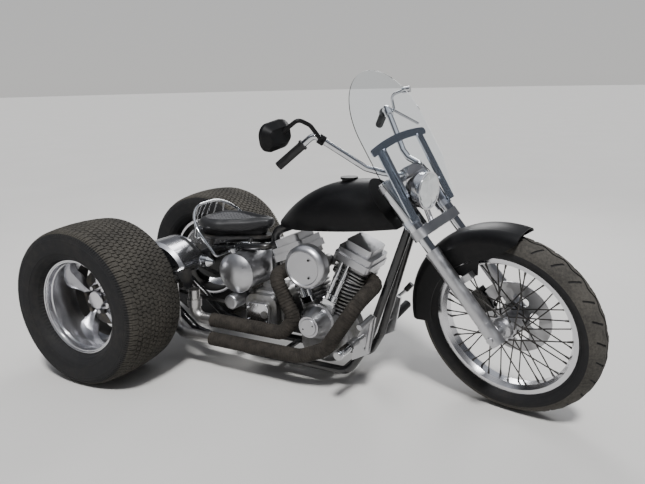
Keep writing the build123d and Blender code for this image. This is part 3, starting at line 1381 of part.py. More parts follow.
# Clamps on the rising runs of the bar carry the mirror and the left lever.
CONTROL_CLAMP_R = 19


def on_bar(share, side):
    """A point along a rising run of the handlebar, from its foot (0) to its top (1)."""
    foot = Vector(*left_half[1])
    top = Vector(*left_half[2])
    point = foot + (top - foot) * share
    return Vector(point.X, side * point.Y, point.Z)


def bore_for_bar(side):
    """Cut the bar's passage through a clamp on the rising run."""
    bar_way = on_bar(1, side) - on_bar(0, side)
    with BuildSketch(Plane(on_bar(0.7, side), z_dir=bar_way)) as bore:
        Circle(BAR_R + SEAT_GAP)
    extrude(bore.sketch, amount=60, mode=Mode.SUBTRACT)


# Right mirror: an arched stem on its clamp and an oval head whose glass faces back
MIRROR_W = 150
MIRROR_H = 104
MIRROR_CORNER_R = 44
MIRROR_RIM = 6
with BuildPart() as right_mirror:
    add_rod(on_bar(0.8, -1), on_bar(0.91, -1), CONTROL_CLAMP_R)
    add_tube(
        [
            on_bar(0.86, -1),
            (behind(609), -237, 1088),
            (behind(631), -262, 1148),
            (behind(645), -306, 1180),
            (behind(706), -354, 1130),
        ],
        8,
        [12, 30, 24],
    )
    bore_for_bar(-1)
    glass_side = Plane((behind(727), -360, 1130), x_dir=(0, 1, 0), z_dir=(1, 0, 0))
    with BuildSketch(glass_side):
        RectangleRounded(MIRROR_W, MIRROR_H, MIRROR_CORNER_R)
    extrude(amount=14)
    with BuildSketch(glass_side.offset(14)):
        RectangleRounded(MIRROR_W, MIRROR_H, MIRROR_CORNER_R)
    extrude(amount=24, taper=44)
    with BuildSketch(glass_side):
        RectangleRounded(
            MIRROR_W - 2 * MIRROR_RIM,
            MIRROR_H - 2 * MIRROR_RIM,
            MIRROR_CORNER_R - MIRROR_RIM,
        )
    extrude(amount=3, mode=Mode.SUBTRACT)
park(right_mirror)
right_mirror.part.label = "right_mirror"
export_step(right_mirror.part, "parts/right_mirror.step")

# Left hand lever: its clamp with a short capped stalk above, and the lever turned forward
with BuildPart() as left_hand_lever:
    add_rod(on_bar(0.8, 1), on_bar(0.91, 1), CONTROL_CLAMP_R)
    add_tube(
        [
            on_bar(0.86, 1),
            (behind(609), 237, 1088),
            (behind(625), 244, 1150),
            (behind(560), 256, 1172),
        ],
        6,
        [12, 24],
    )
    add_rod((behind(572), 253, 1170), (behind(540), 262, 1174), 13)
    add_rod((behind(609), 237, 1088), (behind(558), 330, 1014), 5.5)
    bore_for_bar(1)
park(left_hand_lever)
left_hand_lever.part.label = "left_hand_lever"
export_step(left_hand_lever.part, "parts/left_hand_lever.step")

# Headlight: a spun bucket with its rim, on a post from the lower clamp
LAMP_BACK = 309
LAMP_Z = 850
with BuildPart() as headlight:
    with BuildSketch(side_plane(behind(LAMP_BACK), 0, LAMP_Z)):
        with BuildLine():
            lens_r = ((LAMP_R - 7) ** 2 + 49) / 14
            Line((-100, 0), (6, 0))
            CenterArc((6 - lens_r, 0), lens_r, 0, degrees(asin((LAMP_R - 7) / lens_r)))
            Polyline(
                (-1, LAMP_R - 7),
                (0, LAMP_R),
                (-10, LAMP_R),
                (-12, LAMP_R - 4),
                (-38, LAMP_R - 5),
            )
            ThreePointArc((-38, LAMP_R - 5), (-68, LAMP_R - 22), (-100, 18))
            Line((-100, 18), (-100, 0))
        make_face()
    revolve(axis=Axis((behind(LAMP_BACK), 0, LAMP_Z), (1, 0, 0)))
    add_rod((behind(330), 0, LAMP_Z - LAMP_R + 10), (behind(303), 0, 712), 11)
    with BuildSketch(fork_level(LOW_CLAMP - 60)):
        Rectangle(120, 300)
    extrude(amount=60 + CLAMP_T / 2 + SEAT_GAP, mode=Mode.SUBTRACT)
park(headlight)
headlight.part.label = "headlight"
export_step(headlight.part, "parts/headlight.step")

# Windshield: a clear sheet leaning back, notched below for the lamp
shield_up = Vector(-sin(radians(SHIELD_LEAN)), 0, cos(radians(SHIELD_LEAN)))
shield_face = Vector(cos(radians(SHIELD_LEAN)), 0, sin(radians(SHIELD_LEAN)))
SHIELD_BACK = 427
SHIELD_Z = 1033
SHIELD_TOP = 294
SHIELD_FOOT = -284
shield_plane = Plane((behind(SHIELD_BACK), 0, SHIELD_Z), x_dir=(0, 1, 0), z_dir=shield_face)
with BuildPart() as windshield:
    with BuildSketch(shield_plane):
        with BuildLine():
            Line((-SHIELD_HALF_W, -120), (-SHIELD_HALF_W, 60))
            EllipticalCenterArc((0, 60), SHIELD_HALF_W, SHIELD_TOP - 60, start_angle=0, arc_size=180)
            Line((SHIELD_HALF_W, 60), (SHIELD_HALF_W, -120))
            Polyline(
                (SHIELD_HALF_W, -120),
                (150, SHIELD_FOOT),
                (100, SHIELD_FOOT),
                (88, -190),
            )
            ThreePointArc((88, -190), (0, -98), (-88, -190))
            Polyline(
                (-88, -190),
                (-100, SHIELD_FOOT),
                (-150, SHIELD_FOOT),
                (-SHIELD_HALF_W, -120),
            )
        make_face()
    extrude(amount=SHIELD_T)
park(windshield)
windshield.part.label = "windshield"
export_step(windshield.part, "parts/windshield.step")

# Windshield frame: cross bar, side plates and the rings that clamp them to the fork covers
with BuildPart() as windshield_frame:
    with BuildSketch(shield_plane.offset(-SEAT_GAP)):
        with BuildLine():
            ThreePointArc((-165, 15), (0, 31), (165, 15))
            ThreePointArc((165, 15), (178, 0), (165, -15))
            ThreePointArc((165, -15), (0, 1), (-165, -15))
            ThreePointArc((-165, -15), (-178, 0), (-165, 15))
        make_face()
        with Locations((-130, -142), (130, -142)):
            Rectangle(40, 290)
    extrude(amount=-5)
    with BuildSketch(fork_level(501)):
        with Locations((0, -LEG_Y), (0, LEG_Y)):
            Circle(SHROUD_R + 4)
            Circle(SHROUD_R + SEAT_GAP, mode=Mode.SUBTRACT)
    extrude(amount=24)
    with BuildSketch(shield_plane.offset(SHIELD_T + SEAT_GAP)):
        with Locations((-112, -100), (112, -100)):
            Rectangle(15, 200)
    extrude(amount=4)
    with BuildSketch(shield_plane.offset(SHIELD_T + SEAT_GAP)):
        with Locations((-112, -6), (112, -6), (-112, -194), (112, -194)):
            Circle(5)
    extrude(amount=8)
park(windshield_frame)
windshield_frame.part.label = "windshield_frame"
export_step(windshield_frame.part, "parts/windshield_frame.step")
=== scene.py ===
import math

import bmesh
import bpy
from mathutils import Matrix, Vector


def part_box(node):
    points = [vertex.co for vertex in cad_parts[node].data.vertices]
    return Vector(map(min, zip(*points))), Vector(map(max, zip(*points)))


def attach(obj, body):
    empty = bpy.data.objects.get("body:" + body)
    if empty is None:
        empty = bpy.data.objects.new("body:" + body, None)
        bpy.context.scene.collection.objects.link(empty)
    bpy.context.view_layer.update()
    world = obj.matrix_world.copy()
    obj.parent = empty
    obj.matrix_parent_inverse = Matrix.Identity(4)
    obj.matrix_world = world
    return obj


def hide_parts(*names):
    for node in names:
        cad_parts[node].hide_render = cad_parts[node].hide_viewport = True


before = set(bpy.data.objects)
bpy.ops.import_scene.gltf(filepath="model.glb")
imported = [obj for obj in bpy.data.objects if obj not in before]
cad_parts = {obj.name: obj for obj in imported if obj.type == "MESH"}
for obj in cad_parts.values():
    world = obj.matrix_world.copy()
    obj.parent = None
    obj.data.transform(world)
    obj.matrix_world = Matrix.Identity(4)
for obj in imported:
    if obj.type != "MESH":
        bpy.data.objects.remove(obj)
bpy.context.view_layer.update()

# Camera, floor and light
# The camera stands in front and to the right of the trike, at chest height, as in the
# photograph. The floor is a plain pale sheet, lit by a wide sun, a rim panel and a room that
# is bright at the horizon and overhead.
camera_data = bpy.data.cameras.new("camera")
camera_data.sensor_width = 36
camera_data.lens = 36.93
camera = bpy.data.objects.new("camera", camera_data)
bpy.context.collection.objects.link(camera)
camera_place = Vector((1.33965, -2.39261, 1.27611))
view_right = Vector((0.88066744, 0.47331597, -0.01992111))
view_up = Vector((-0.09850454, 0.22408879, 0.96957778))
view_back = Vector((0.46338074, -0.85191326, 0.24397148))
camera_turn = Matrix((view_right, view_up, view_back)).transposed()
camera.matrix_world = Matrix.Translation(camera_place) @ camera_turn.to_4x4()
bpy.context.scene.camera = camera


class Wire:
    """One output in a material's node tree. Sums and products of wires add Math nodes."""

    def __init__(self, tree, socket):
        self.tree = tree
        self.socket = socket

    def node(self, kind, settings=None, inputs=None, output=0):
        """Add a shader node after its settings, with values or wires on its sockets."""
        made = self.tree.nodes.new("ShaderNode" + kind)
        for key, value in (settings or {}).items():
            if key == "stops":
                ramp = made.color_ramp
                while len(ramp.elements) < len(value):
                    ramp.elements.new(0.5)
                for element, (place, colour) in zip(ramp.elements, value):
                    element.position = place
                    element.color = colour
            else:
                setattr(made, key, value)
        for key, value in (inputs or {}).items():
            if isinstance(value, Wire):
                self.tree.links.new(value.socket, made.inputs[key])
            else:
                made.inputs[key].default_value = value
        return Wire(self.tree, made.outputs[output])

    def maths(self, operation, *values):
        """A Math node on these values, or on this wire alone where there are none."""
        return self.node("Math", {"operation": operation}, dict(enumerate(values or (self,))))

    def __add__(self, other):
        return self.maths("ADD", self, other)

    def __mul__(self, other):
        return self.maths("MULTIPLY", self, other)

    def __rsub__(self, other):
        return self.maths("SUBTRACT", other, self)

    __radd__ = __add__
    __rmul__ = __mul__

    def part(self, axis):
        """The x, y or z part of a place, for an axis of 0, 1 or 2."""
        return self.node("SeparateXYZ", {}, {0: self}, output=axis)

    def between(self, low, high):
        """0 below low, 1 above high and smooth in between."""
        return self.node(
            "MapRange",
            {"interpolation_type": "SMOOTHSTEP"},
            {0: self, 1: low, 2: high, 3: 0.0, 4: 1.0},
        )

    def tint(self, low_colour, high_colour):
        """A colour that goes from one to the other as this wire goes from 0 to 1."""
        return self.node(
            "Mix",
            {"data_type": "RGBA"},
            {0: self, 6: (*low_colour, 1), 7: (*high_colour, 1)},
            output=2,
        )


class Finish:
    """A material: its principled shader and the object coordinates that patterns read."""

    def __init__(self, name, **uniform):
        self.material = bpy.data.materials.new(name)
        self.material.use_nodes = True
        self.tree = self.material.node_tree
        self.shader = self.tree.nodes["Principled BSDF"]
        for key, value in uniform.items():
            socket = self.shader.inputs[key.replace("_", " ")]
            socket.default_value = (*value, 1) if isinstance(value, tuple) else value
        coordinates = self.tree.nodes.new("ShaderNodeTexCoord")
        self.place = Wire(self.tree, coordinates.outputs["Object"])

    def stretched(self, scale, turn=(0, 0, 0)):
        """The object coordinates, scaled and turned for a pattern."""
        return self.place.node(
            "Mapping", {}, {"Vector": self.place, "Scale": scale, "Rotation": turn}
        )

    def grain(self, scale, detail=4.0, roughness=0.5, source=None):
        """Cloudy noise from 0 to 1, as many features a metre as scale says."""
        return self.place.node(
            "TexNoise",
            {},
            {
                "Vector": source or self.place,
                "Scale": scale,
                "Detail": detail,
                "Roughness": roughness,
            },
        )

    def feed(self, socket, wire):
        """Drive one of the shader's sockets by a wire."""
        self.tree.links.new(wire.socket, self.shader.inputs[socket])

    def emboss(self, height, strength, distance):
        """Raise the surface by a wire: distance is the full height in metres."""
        bump = height.node(
            "Bump", {}, {"Height": height, "Strength": strength, "Distance": distance}
        )
        self.feed("Normal", bump)


def coat(node_names, finish):
    """Give CAD nodes a finish in place of the plain one that they came with."""
    for node_name in node_names:
        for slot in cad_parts[node_name].material_slots:
            slot.material = finish.material


def mesh_object(name, mesh_maker, finish, body, smooth=True):
    """A piece from an open bmesh, shaded and riding on its body."""
    mesh = bpy.data.meshes.new(name)
    mesh_maker.to_mesh(mesh)
    mesh_maker.free()
    if smooth:
        mesh.shade_smooth()
        mesh.set_sharp_from_angle(angle=math.radians(32))
    piece = bpy.data.objects.new(name, mesh)
    bpy.context.collection.objects.link(piece)
    piece.data.materials.append(finish.material)
    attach(piece, body)
    return piece


floor_maker = bmesh.new()
bmesh.ops.create_circle(floor_maker, cap_ends=True, segments=96, radius=60)
floor_mesh = bpy.data.meshes.new("floor")
floor_maker.to_mesh(floor_mesh)
floor_maker.free()
floor = bpy.data.objects.new("floor", floor_mesh)
bpy.context.collection.objects.link(floor)
floor_finish = Finish("pale_floor", Roughness=0.85)
floor_cloud = floor_finish.grain(1.5, 5.0)
floor_finish.feed("Base Color", floor_cloud.tint((0.60, 0.585, 0.56), (0.65, 0.637, 0.615)))
floor.data.materials.append(floor_finish.material)

world = bpy.data.worlds.new("soft_room")
world.use_nodes = True
bpy.context.scene.world = world
room = world.node_tree
backdrop = room.nodes["Background"]
room_way = Wire(room, room.nodes.new("ShaderNodeTexCoord").outputs["Generated"])
room_height = room_way.part(2)
room_colour = room_height.node(
    "ValToRGB",
    {
        "stops": [
            (0.0, (0.30, 0.27, 0.24, 1)),
            (0.5, (1.02, 1.01, 0.99, 1)),
            (0.57, (0.98, 0.98, 0.98, 1)),
            (0.64, (0.16, 0.165, 0.18, 1)),
            (0.82, (0.14, 0.15, 0.18, 1)),
            (0.93, (1.3, 1.35, 1.45, 1)),
        ]
    },
    {0: room_height * 0.5 + 0.5},
)
room.links.new(room_colour.socket, backdrop.inputs["Color"])
backdrop.inputs["Strength"].default_value = 0.6

sun = bpy.data.lights.new("key", "SUN")
sun.energy = 3.7
sun.angle = math.radians(9)
key_light = bpy.data.objects.new("key", sun)
bpy.context.collection.objects.link(key_light)
towards_sun = Vector((0.30, -0.50, 1.0))
key_light.matrix_world = towards_sun.to_track_quat("Z", "Y").to_matrix().to_4x4()
rim_panel = bpy.data.lights.new("rim", "AREA")
rim_panel.size = 1.4
rim_panel.energy = 60
rim_light = bpy.data.objects.new("rim", rim_panel)
bpy.context.collection.objects.link(rim_light)
rim_place = Vector((-0.8, 2.8, 2.6))
rim_aim = Vector((0, 0, 0.4))
rim_turn = (rim_place - rim_aim).to_track_quat("Z", "Y").to_matrix()
rim_light.matrix_world = Matrix.Translation(rim_place) @ rim_turn.to_4x4()

# Front tyre
# A motorcycle tyre with a round crown, moulded in black rubber round a wire-wheel rim. The
# tread has a waved groove round its middle and slanted drain slots towards the shoulders.
REAR_X = -0.842089
WHEELBASE = 1.675
FRONT_AXLE = Vector((REAR_X + WHEELBASE, 0, 0.360966))
RAKE = math.radians(38.9)
FORK_OFFSET = 0.062
PARKED_STEER = math.radians(-15.9)
FORK_FORWARD = Vector((math.cos(RAKE), 0, math.sin(RAKE)))
FORK_UP = Vector((-math.sin(RAKE), 0, math.cos(RAKE)))
# What the fork carries is built straight ahead and then turned to where the fork is parked.
FORK_FOOT = FRONT_AXLE - FORK_FORWARD * FORK_OFFSET
PARKED = (
    Matrix.Translation(FORK_FOOT)
    @ Matrix.Rotation(PARKED_STEER, 4, FORK_UP)
    @ Matrix.Translation(-FORK_FOOT)
)


def wrap_tread(pitches, phases, columns, lead):
    """A tyre skin round the Y axis: a grid whose rows go round and whose columns go across.
    Each column has its place across, its radius, its share of the zigzag and, for the rows
    that its slots cut, how deep they go. lead slants the slots: turns of a pitch a metre."""
    rows = pitches * len(phases)
    skin = bmesh.new()
    bmesh.ops.create_grid(skin, x_segments=rows, y_segments=len(columns) - 1, size=1)
    for vertex in skin.verts:
        row = round((vertex.co.x + 1) / 2 * rows)
        across, radius, swing, cut_rows, depth = columns[
            round((vertex.co.y + 1) / 2 * (len(columns) - 1))
        ]
        phase = phases[row % len(phases)]
        zigzag = 1 - 4 * abs((phase + 0.25) % 1 - 0.5)
        if row % len(phases) in cut_rows:
            radius -= depth
        turn = math.tau * (row // len(phases) + phase + lead * abs(across)) / pitches
        vertex.co = (
            radius * math.cos(turn),
            across + swing * zigzag,
            radius * math.sin(turn),
        )
    bmesh.ops.remove_doubles(skin, verts=skin.verts, dist=1e-6)
    return skin


FRONT_TYRE_R = 0.364
FRONT_CROWN_R = 0.060615
FRONT_PITCHES = 28
FRONT_SLOT_DEPTH = 0.004
SLOT_SHADE_DEPTH = 0.0017
FRONT_SLOT_LEAD = 11.0
WAVE_HALF_W = 0.020
WAVE_SWING = 0.008
FRONT_TREAD_LOW_R = 0.316
# rows of one pitch, as shares of it, and which of them the slots of each side cut
front_phases = (0, 0.02, 0.09, 0.11, 0.31, 0.5, 0.52, 0.59, 0.61, 0.81)
front_slots = {-1: (1, 2), 1: (5, 6)}
front_half = []
# columns: place across, whether slots cut it, how far it lies below the crown
for across, slotted, sunk in [
    (0.0025, False, 0.0042),
    (0.0035, False, 0.0),
    (0.013, False, 0.0),
    (0.0145, True, 0.0),
    (0.024, True, 0.0),
    (0.034, True, 0.0),
    (0.043, True, 0.0),
    (0.0445, False, 0.0),
    (0.052, False, 0.0),
]:
    crown = FRONT_TYRE_R - FRONT_CROWN_R + math.sqrt(FRONT_CROWN_R**2 - across**2)
    front_half.append((across, crown - sunk, slotted))
# columns: place across, radius, whether slots cut it
front_half += [
    (0.0575, 0.322, False),
    (0.060, 0.311, False),
    (0.0590, 0.302, False),
    (0.0550, 0.2935, False),
    (0.0535, 0.2925, False),
    (0.0480, 0.2870, False),
    (0.0385, 0.2808, False),
    (0.0320, 0.2803, False),
]
front_columns = []
for side, half in ((-1, reversed(front_half)), (1, front_half)):
    for across, radius, slotted in half:
        swing = WAVE_SWING if across < WAVE_HALF_W else 0
        cut_rows = front_slots[side] if slotted else ()
        front_columns.append((side * across, radius, swing, cut_rows, FRONT_SLOT_DEPTH))
rubber = Finish("tyre_rubber", Roughness=0.78, Specular_IOR_Level=0.35)
rubber_dust = rubber.grain(5.0, 6.0, 0.55) * 0.6 + rubber.grain(45.0, 5.0, 0.6) * 0.4
rubber_shade = rubber_dust.between(0.4, 0.75).tint((0.008, 0.008, 0.009), (0.022, 0.020, 0.018))
rubber.feed("Base Color", rubber_shade)
rubber.emboss(rubber.grain(650.0, 3.0), 0.25, 0.001)
front_tread = Finish("front_tread_rubber", Roughness=0.9, Specular_IOR_Level=0.25)
front_dust = front_tread.grain(6.0, 6.0, 0.55) * 0.5 + front_tread.grain(120.0, 5.0, 0.6) * 0.5
front_shade = front_dust.between(0.32, 0.66).tint((0.036, 0.034, 0.031), (0.078, 0.072, 0.063))
front_tread.feed("Base Color", front_shade)
front_tread.emboss(front_tread.grain(650.0, 3.0), 0.3, 0.001)
front_skin = wrap_tread(FRONT_PITCHES, front_phases, front_columns, FRONT_SLOT_LEAD)
for face in front_skin.faces:
    middle = face.calc_center_median()
    reach = math.hypot(middle.x, middle.z)
    bow = math.sqrt(max(0.0, FRONT_CROWN_R**2 - middle.y**2))
    crown = FRONT_TYRE_R - FRONT_CROWN_R + bow
    # Faces deep in the slots keep the darker sidewall rubber: painted shade in the slots.
    in_slot = reach < crown - SLOT_SHADE_DEPTH
    face.material_index = 1 if reach > FRONT_TREAD_LOW_R and not in_slot else 0
bmesh.ops.recalc_face_normals(front_skin, faces=front_skin.faces)
bmesh.ops.translate(front_skin, verts=front_skin.verts, vec=FRONT_AXLE)
bmesh.ops.transform(front_skin, verts=front_skin.verts, matrix=PARKED)
front_tyre = mesh_object("front_tyre_skin", front_skin, rubber, "wheel_front", smooth=False)
front_tyre.data.materials.append(front_tread.material)
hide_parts("front_tyre")

# Front rim, hub, spokes and brake disc
# A polished alloy rim laced to a steel hub by crossed dark steel spokes, each with a nipple
# at the rim. The hub is satin alloy, and the drilled steel disc is bolted to its left end.
polished = Finish("polished_alloy", Base_Color=(0.66, 0.66, 0.68), Metallic=1.0)
polish_haze = polished.grain(14.0, 5.0, 0.55)
polished.feed("Roughness", polish_haze * 0.10 + 0.17)
polished.emboss(polished.grain(500.0, 2.0), 0.04, 0.0004)
coat(["front_rim"], polished)

spoke_steel = Finish("dull_spoke_steel", Metallic=0.9)
spoke_stain = spoke_steel.grain(60.0, 4.0)
spoke_steel.feed("Base Color", spoke_stain.tint((0.035, 0.033, 0.031), (0.11, 0.105, 0.10)))
spoke_steel.feed("Roughness", spoke_stain * 0.2 + 0.35)
# columns: flange side, sweep direction, first angle in pitches, hub and rim places across
spoke_sets = [
    (-1, 1, 0, 0.0428, 0.013),
    (-1, -1, 0.5, 0.030, 0.005),
    (1, 1, 0.25, 0.0428, 0.013),
    (1, -1, 0.75, 0.030, 0.005),
]
SPOKES_PER_SET = 10
SPOKE_PITCH = math.tau / SPOKES_PER_SET
SPOKE_SWEEP = math.radians(62)
SPOKE_R = 0.0026
NIPPLE_R = 0.0033
NIPPLE_FOOT_R = 0.0046
NIPPLE_SHARE = 0.075
HUB_HOLE_R = 0.047
RIM_HOLE_R = 0.249


def on_wheel(radius, turn, across):
    """A point of the front wheel, from its axle."""
    return Vector((radius * math.cos(turn), across, radius * math.sin(turn)))


lacing = bmesh.new()
for flange, sweep_way, first, hub_y, rim_y in spoke_sets:
    for number in range(SPOKES_PER_SET):
        rim_turn = (first + number) * SPOKE_PITCH
        hub_turn = rim_turn - SPOKE_SWEEP * sweep_way
        hub_end = on_wheel(HUB_HOLE_R, hub_turn, flange * hub_y)
        rim_end = on_wheel(RIM_HOLE_R, rim_turn, flange * rim_y)
        nipple_end = rim_end.lerp(hub_end, NIPPLE_SHARE)
        for start, end, start_r, end_r in (
            (hub_end, rim_end, SPOKE_R, SPOKE_R),
            (nipple_end, rim_end, NIPPLE_R, NIPPLE_FOOT_R),
        ):
            bmesh.ops.create_cone(
                lacing,
                cap_ends=True,
                segments=10,
                radius1=start_r,
                radius2=end_r,
                depth=(end - start).length,
                matrix=Matrix.Translation((start + end) / 2)
                @ (end - start).to_track_quat("Z", "Y").to_matrix().to_4x4(),
            )
bmesh.ops.translate(lacing, verts=lacing.verts, vec=FRONT_AXLE)
bmesh.ops.transform(lacing, verts=lacing.verts, matrix=PARKED)
laced_spokes = mesh_object("laced_spokes", lacing, spoke_steel, "wheel_front")
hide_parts("front_spokes")

brushed = Finish("brushed_steel", Base_Color=(0.48, 0.48, 0.49), Metallic=1.0)
brush_lines = brushed.grain(40.0, 3.0, 0.6, source=brushed.stretched((1, 14, 14)))
brushed.feed("Roughness", brush_lines * 0.2 + 0.24)
brushed.emboss(brush_lines, 0.05, 0.0006)
coat(["front_brake_disc"], brushed)

satin = Finish("satin_alloy", Base_Color=(0.50, 0.50, 0.515), Metallic=1.0)
satin_haze = satin.grain(30.0, 6.0, 0.6)
satin.feed("Roughness", satin_haze.between(0.2, 0.8) * 0.18 + 0.26)
satin.emboss(satin.grain(300.0, 3.0), 0.06, 0.001)
coat(["front_hub"], satin)

# Rear tyres
# Wide treaded race tyres on 15 inch wheels, moulded in black rubber. The tread is rows of
# small blocks with zigzag grooves between them, worn and greyed with road dust.
HALF_TRACK = 0.444
REAR_TYRE_R = 0.346
REAR_TREAD_HALF_W = 0.1385
REAR_CROWN_DROP = 0.010
REAR_TREAD_LOW_R = 0.3265
REAR_PITCHES = 92
REAR_SLOT_DEPTH = 0.0045
REAR_SLOT_LEAD = 4.0
RIBS = 6
RIB_PITCH = 0.0224
GROOVE_DEPTH = 0.005
GROOVE_HALF_W = 0.0014
RIB_EDGE = 0.0022
ZIGZAG_SWING = 0.0045
ZIGZAG_HALF_W = 0.13
rear_half = []
for rib in range(RIBS):
    inner = rib * RIB_PITCH
    # columns: place across, how far it lies below the crown, whether slots cut it
    for across, sunk, slotted in [
        (inner + GROOVE_HALF_W, GROOVE_DEPTH, False),
        (inner + RIB_EDGE, 0.0, True),
        (inner + RIB_PITCH - RIB_EDGE, 0.0, True),
        (inner + RIB_PITCH - GROOVE_HALF_W, GROOVE_DEPTH, False),
    ]:
        crown = REAR_TYRE_R - REAR_CROWN_DROP * (across / REAR_TREAD_HALF_W) ** 2
        rear_half.append((across, crown - sunk, rib, slotted))
# The outermost rib runs into the shoulder in place of a groove.
rear_half[-1] = (0.1372, 0.3345, RIBS - 1, True)
# columns: place across, radius
rear_shoulder = [
    (0.1450, 0.3325),
    (0.1520, 0.3270),
    (0.1580, 0.3185),
]
rear_sidewall = [
    (0.1612, 0.3100),
    (0.1622, 0.3050),
    (0.1636, 0.3040),
    (0.1637, 0.3020),
    (0.1629, 0.3010),
    (0.1638, 0.2960),
    (0.1645, 0.2810),
    (0.1636, 0.2660),
    (0.1614, 0.2510),
    (0.1620, 0.2500),
    (0.1616, 0.2475),
    (0.1603, 0.2470),
    (0.1565, 0.2370),
    (0.1500, 0.2290),
    (0.1488, 0.2285),
    (0.1380, 0.2180),
    (0.1160, 0.2081),
    (0.1120, 0.2078),
]
rear_half += [(across, radius, "shoulder", True) for across, radius in rear_shoulder]
rear_half += [(across, radius, "sidewall", False) for across, radius in rear_sidewall]
rear_phases = (0, 0.05, 0.15, 0.20, 0.5, 0.55, 0.65, 0.70)
rear_slot_rows = ((1, 2), (5, 6))
rear_columns = []
for side, half in ((-1, reversed(rear_half)), (1, rear_half)):
    for across, radius, rib, slotted in half:
        if rib == "shoulder":
            cut_rows = (1, 2, 5, 6)
        else:
            cut_rows = rear_slot_rows[(rib + (side > 0)) % 2] if slotted else ()
        swing = ZIGZAG_SWING if across < ZIGZAG_HALF_W else 0
        rear_columns.append((side * across, radius, swing, cut_rows, REAR_SLOT_DEPTH))
rear_tread = Finish("rear_tread_rubber", Roughness=0.92, Specular_IOR_Level=0.25)
rear_dust = rear_tread.grain(5.0, 6.0, 0.55) * 0.5 + rear_tread.grain(110.0, 5.0, 0.6) * 0.5
rear_shade = rear_dust.between(0.32, 0.66).tint((0.030, 0.028, 0.025), (0.070, 0.064, 0.054))
rear_tread.feed("Base Color", rear_shade)
rear_tread.emboss(rear_tread.grain(600.0, 3.0), 0.3, 0.001)
for side_name, side in (("right", -1), ("left", 1)):
    rear_skin = wrap_tread(REAR_PITCHES, rear_phases, rear_columns, REAR_SLOT_LEAD)
    for face in rear_skin.faces:
        middle = face.calc_center_median()
        face.material_index = 1 if math.hypot(middle.x, middle.z) > REAR_TREAD_LOW_R else 0
    bmesh.ops.recalc_face_normals(rear_skin, faces=rear_skin.faces)
    wheel_centre = Vector((REAR_X, side * HALF_TRACK, REAR_TYRE_R))
    bmesh.ops.translate(rear_skin, verts=rear_skin.verts, vec=wheel_centre)
    rear_tyre = mesh_object(
        f"rear_tyre_skin_{side_name}", rear_skin, rubber, f"wheel_rear_{side_name}", smooth=False
    )
    rear_tyre.data.materials.append(rear_tread.material)
    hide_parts(f"rear_tyre_{side_name}")

# Rear wheels
# Deep-dished one-piece alloy wheels, polished, with a stepped lip, five flared spokes set far
# back in the barrel and a plain spun cap over the hub. The barrel behind the spokes and the
# spokes' backs are painted near black: painted shade with some brake dust.
def turned(outline, steps=96):
    """A shape turned round the Y axis from a closed outline of places across and radii."""
    shape = bmesh.new()
    corners = [shape.verts.new((radius, across, 0)) for across, radius in outline]
    edges = [shape.edges.new((a, b)) for a, b in zip(corners, corners[1:] + corners[:1])]
    bmesh.ops.spin(
        shape,
        geom=corners + edges,
        axis=(0, 1, 0),
        cent=(0, 0, 0),
        angle=math.tau,
        steps=steps,
        use_merge=True,
    )
    bmesh.ops.remove_doubles(shape, verts=shape.verts, dist=1e-6)
    bmesh.ops.recalc_face_normals(shape, faces=shape.faces)
    return shape


def round_edges(shape, edges, radius, segments):
    """Round some of a shape's edges off."""
    bmesh.ops.bevel(
        shape,
        geom=edges,
        offset=radius,
        segments=segments,
        profile=0.5,
        affect="EDGES",
        material=-1,
    )


# columns: place across with the outside positive, radius
wheel_outline = [
    (0.1180, 0.2070),
    (0.1125, 0.2074),
    (0.1120, 0.1952),
    (-0.1120, 0.1952),
    (-0.1125, 0.2074),
    (-0.1180, 0.2070),
    (-0.1175, 0.1930),
    (-0.1020, 0.1862),
    (-0.0360, 0.1835),
    (0.0100, 0.1838),
    (0.0860, 0.1872),
    (0.0885, 0.1915),
    (0.0960, 0.1925),
    (0.1080, 0.1950),
    (0.1100, 0.1985),
    (0.1160, 0.1996),
    (0.1185, 0.2020),
]
cap_outline = [
    (-0.034, 0.0),
    (-0.034, 0.072),
    (-0.016, 0.072),
    (-0.012, 0.066),
    (-0.012, 0.044),
    (-0.004, 0.042),
    (0.016, 0.0405),
    (0.0195, 0.037),
    (0.0205, 0.030),
    (0.0215, 0.0),
]
BARREL_CORNER_ANGLE = 0.6
BARREL_EDGE_R = 0.0012
WHEEL_SPOKES = 5
SPOKE_ROOT_R = 0.060
SPOKE_REACH = 0.126
SPOKE_BACK_Y = -0.040
SPOKE_FOOT_Y = -0.034
SPOKE_CREST = 0.036
SPOKE_FALL = 0.012
SPOKE_HALF_W = 0.019
SPOKE_FLARE = 0.036
WHEEL_NUTS = 5
NUT_CIRCLE_R = 0.056
NUT_MIDDLE_Y = -0.004
NUT_L = 0.018
NUT_R = 0.0115
NUT_TIP_R = 0.0095
BACK_SHADE_IN_R = 0.10
BACK_SHADE_OUT_R = 0.19
BACK_SHADE_DEPTH = 0.0035
# Near-black finish for the barrel behind the spokes and the spokes' backs: painted shade with some
# brake dust, mottled at random.
brake_dust_and_painted_shade = Finish("brake_dust_and_painted_shade", Roughness=0.85)
dust_and_shade_cloud = brake_dust_and_painted_shade.grain(20.0, 5.0, 0.6)
brake_dust_and_painted_shade.feed("Base Color", dust_and_shade_cloud.tint((0.008, 0.008, 0.008), (0.028, 0.025, 0.022)))
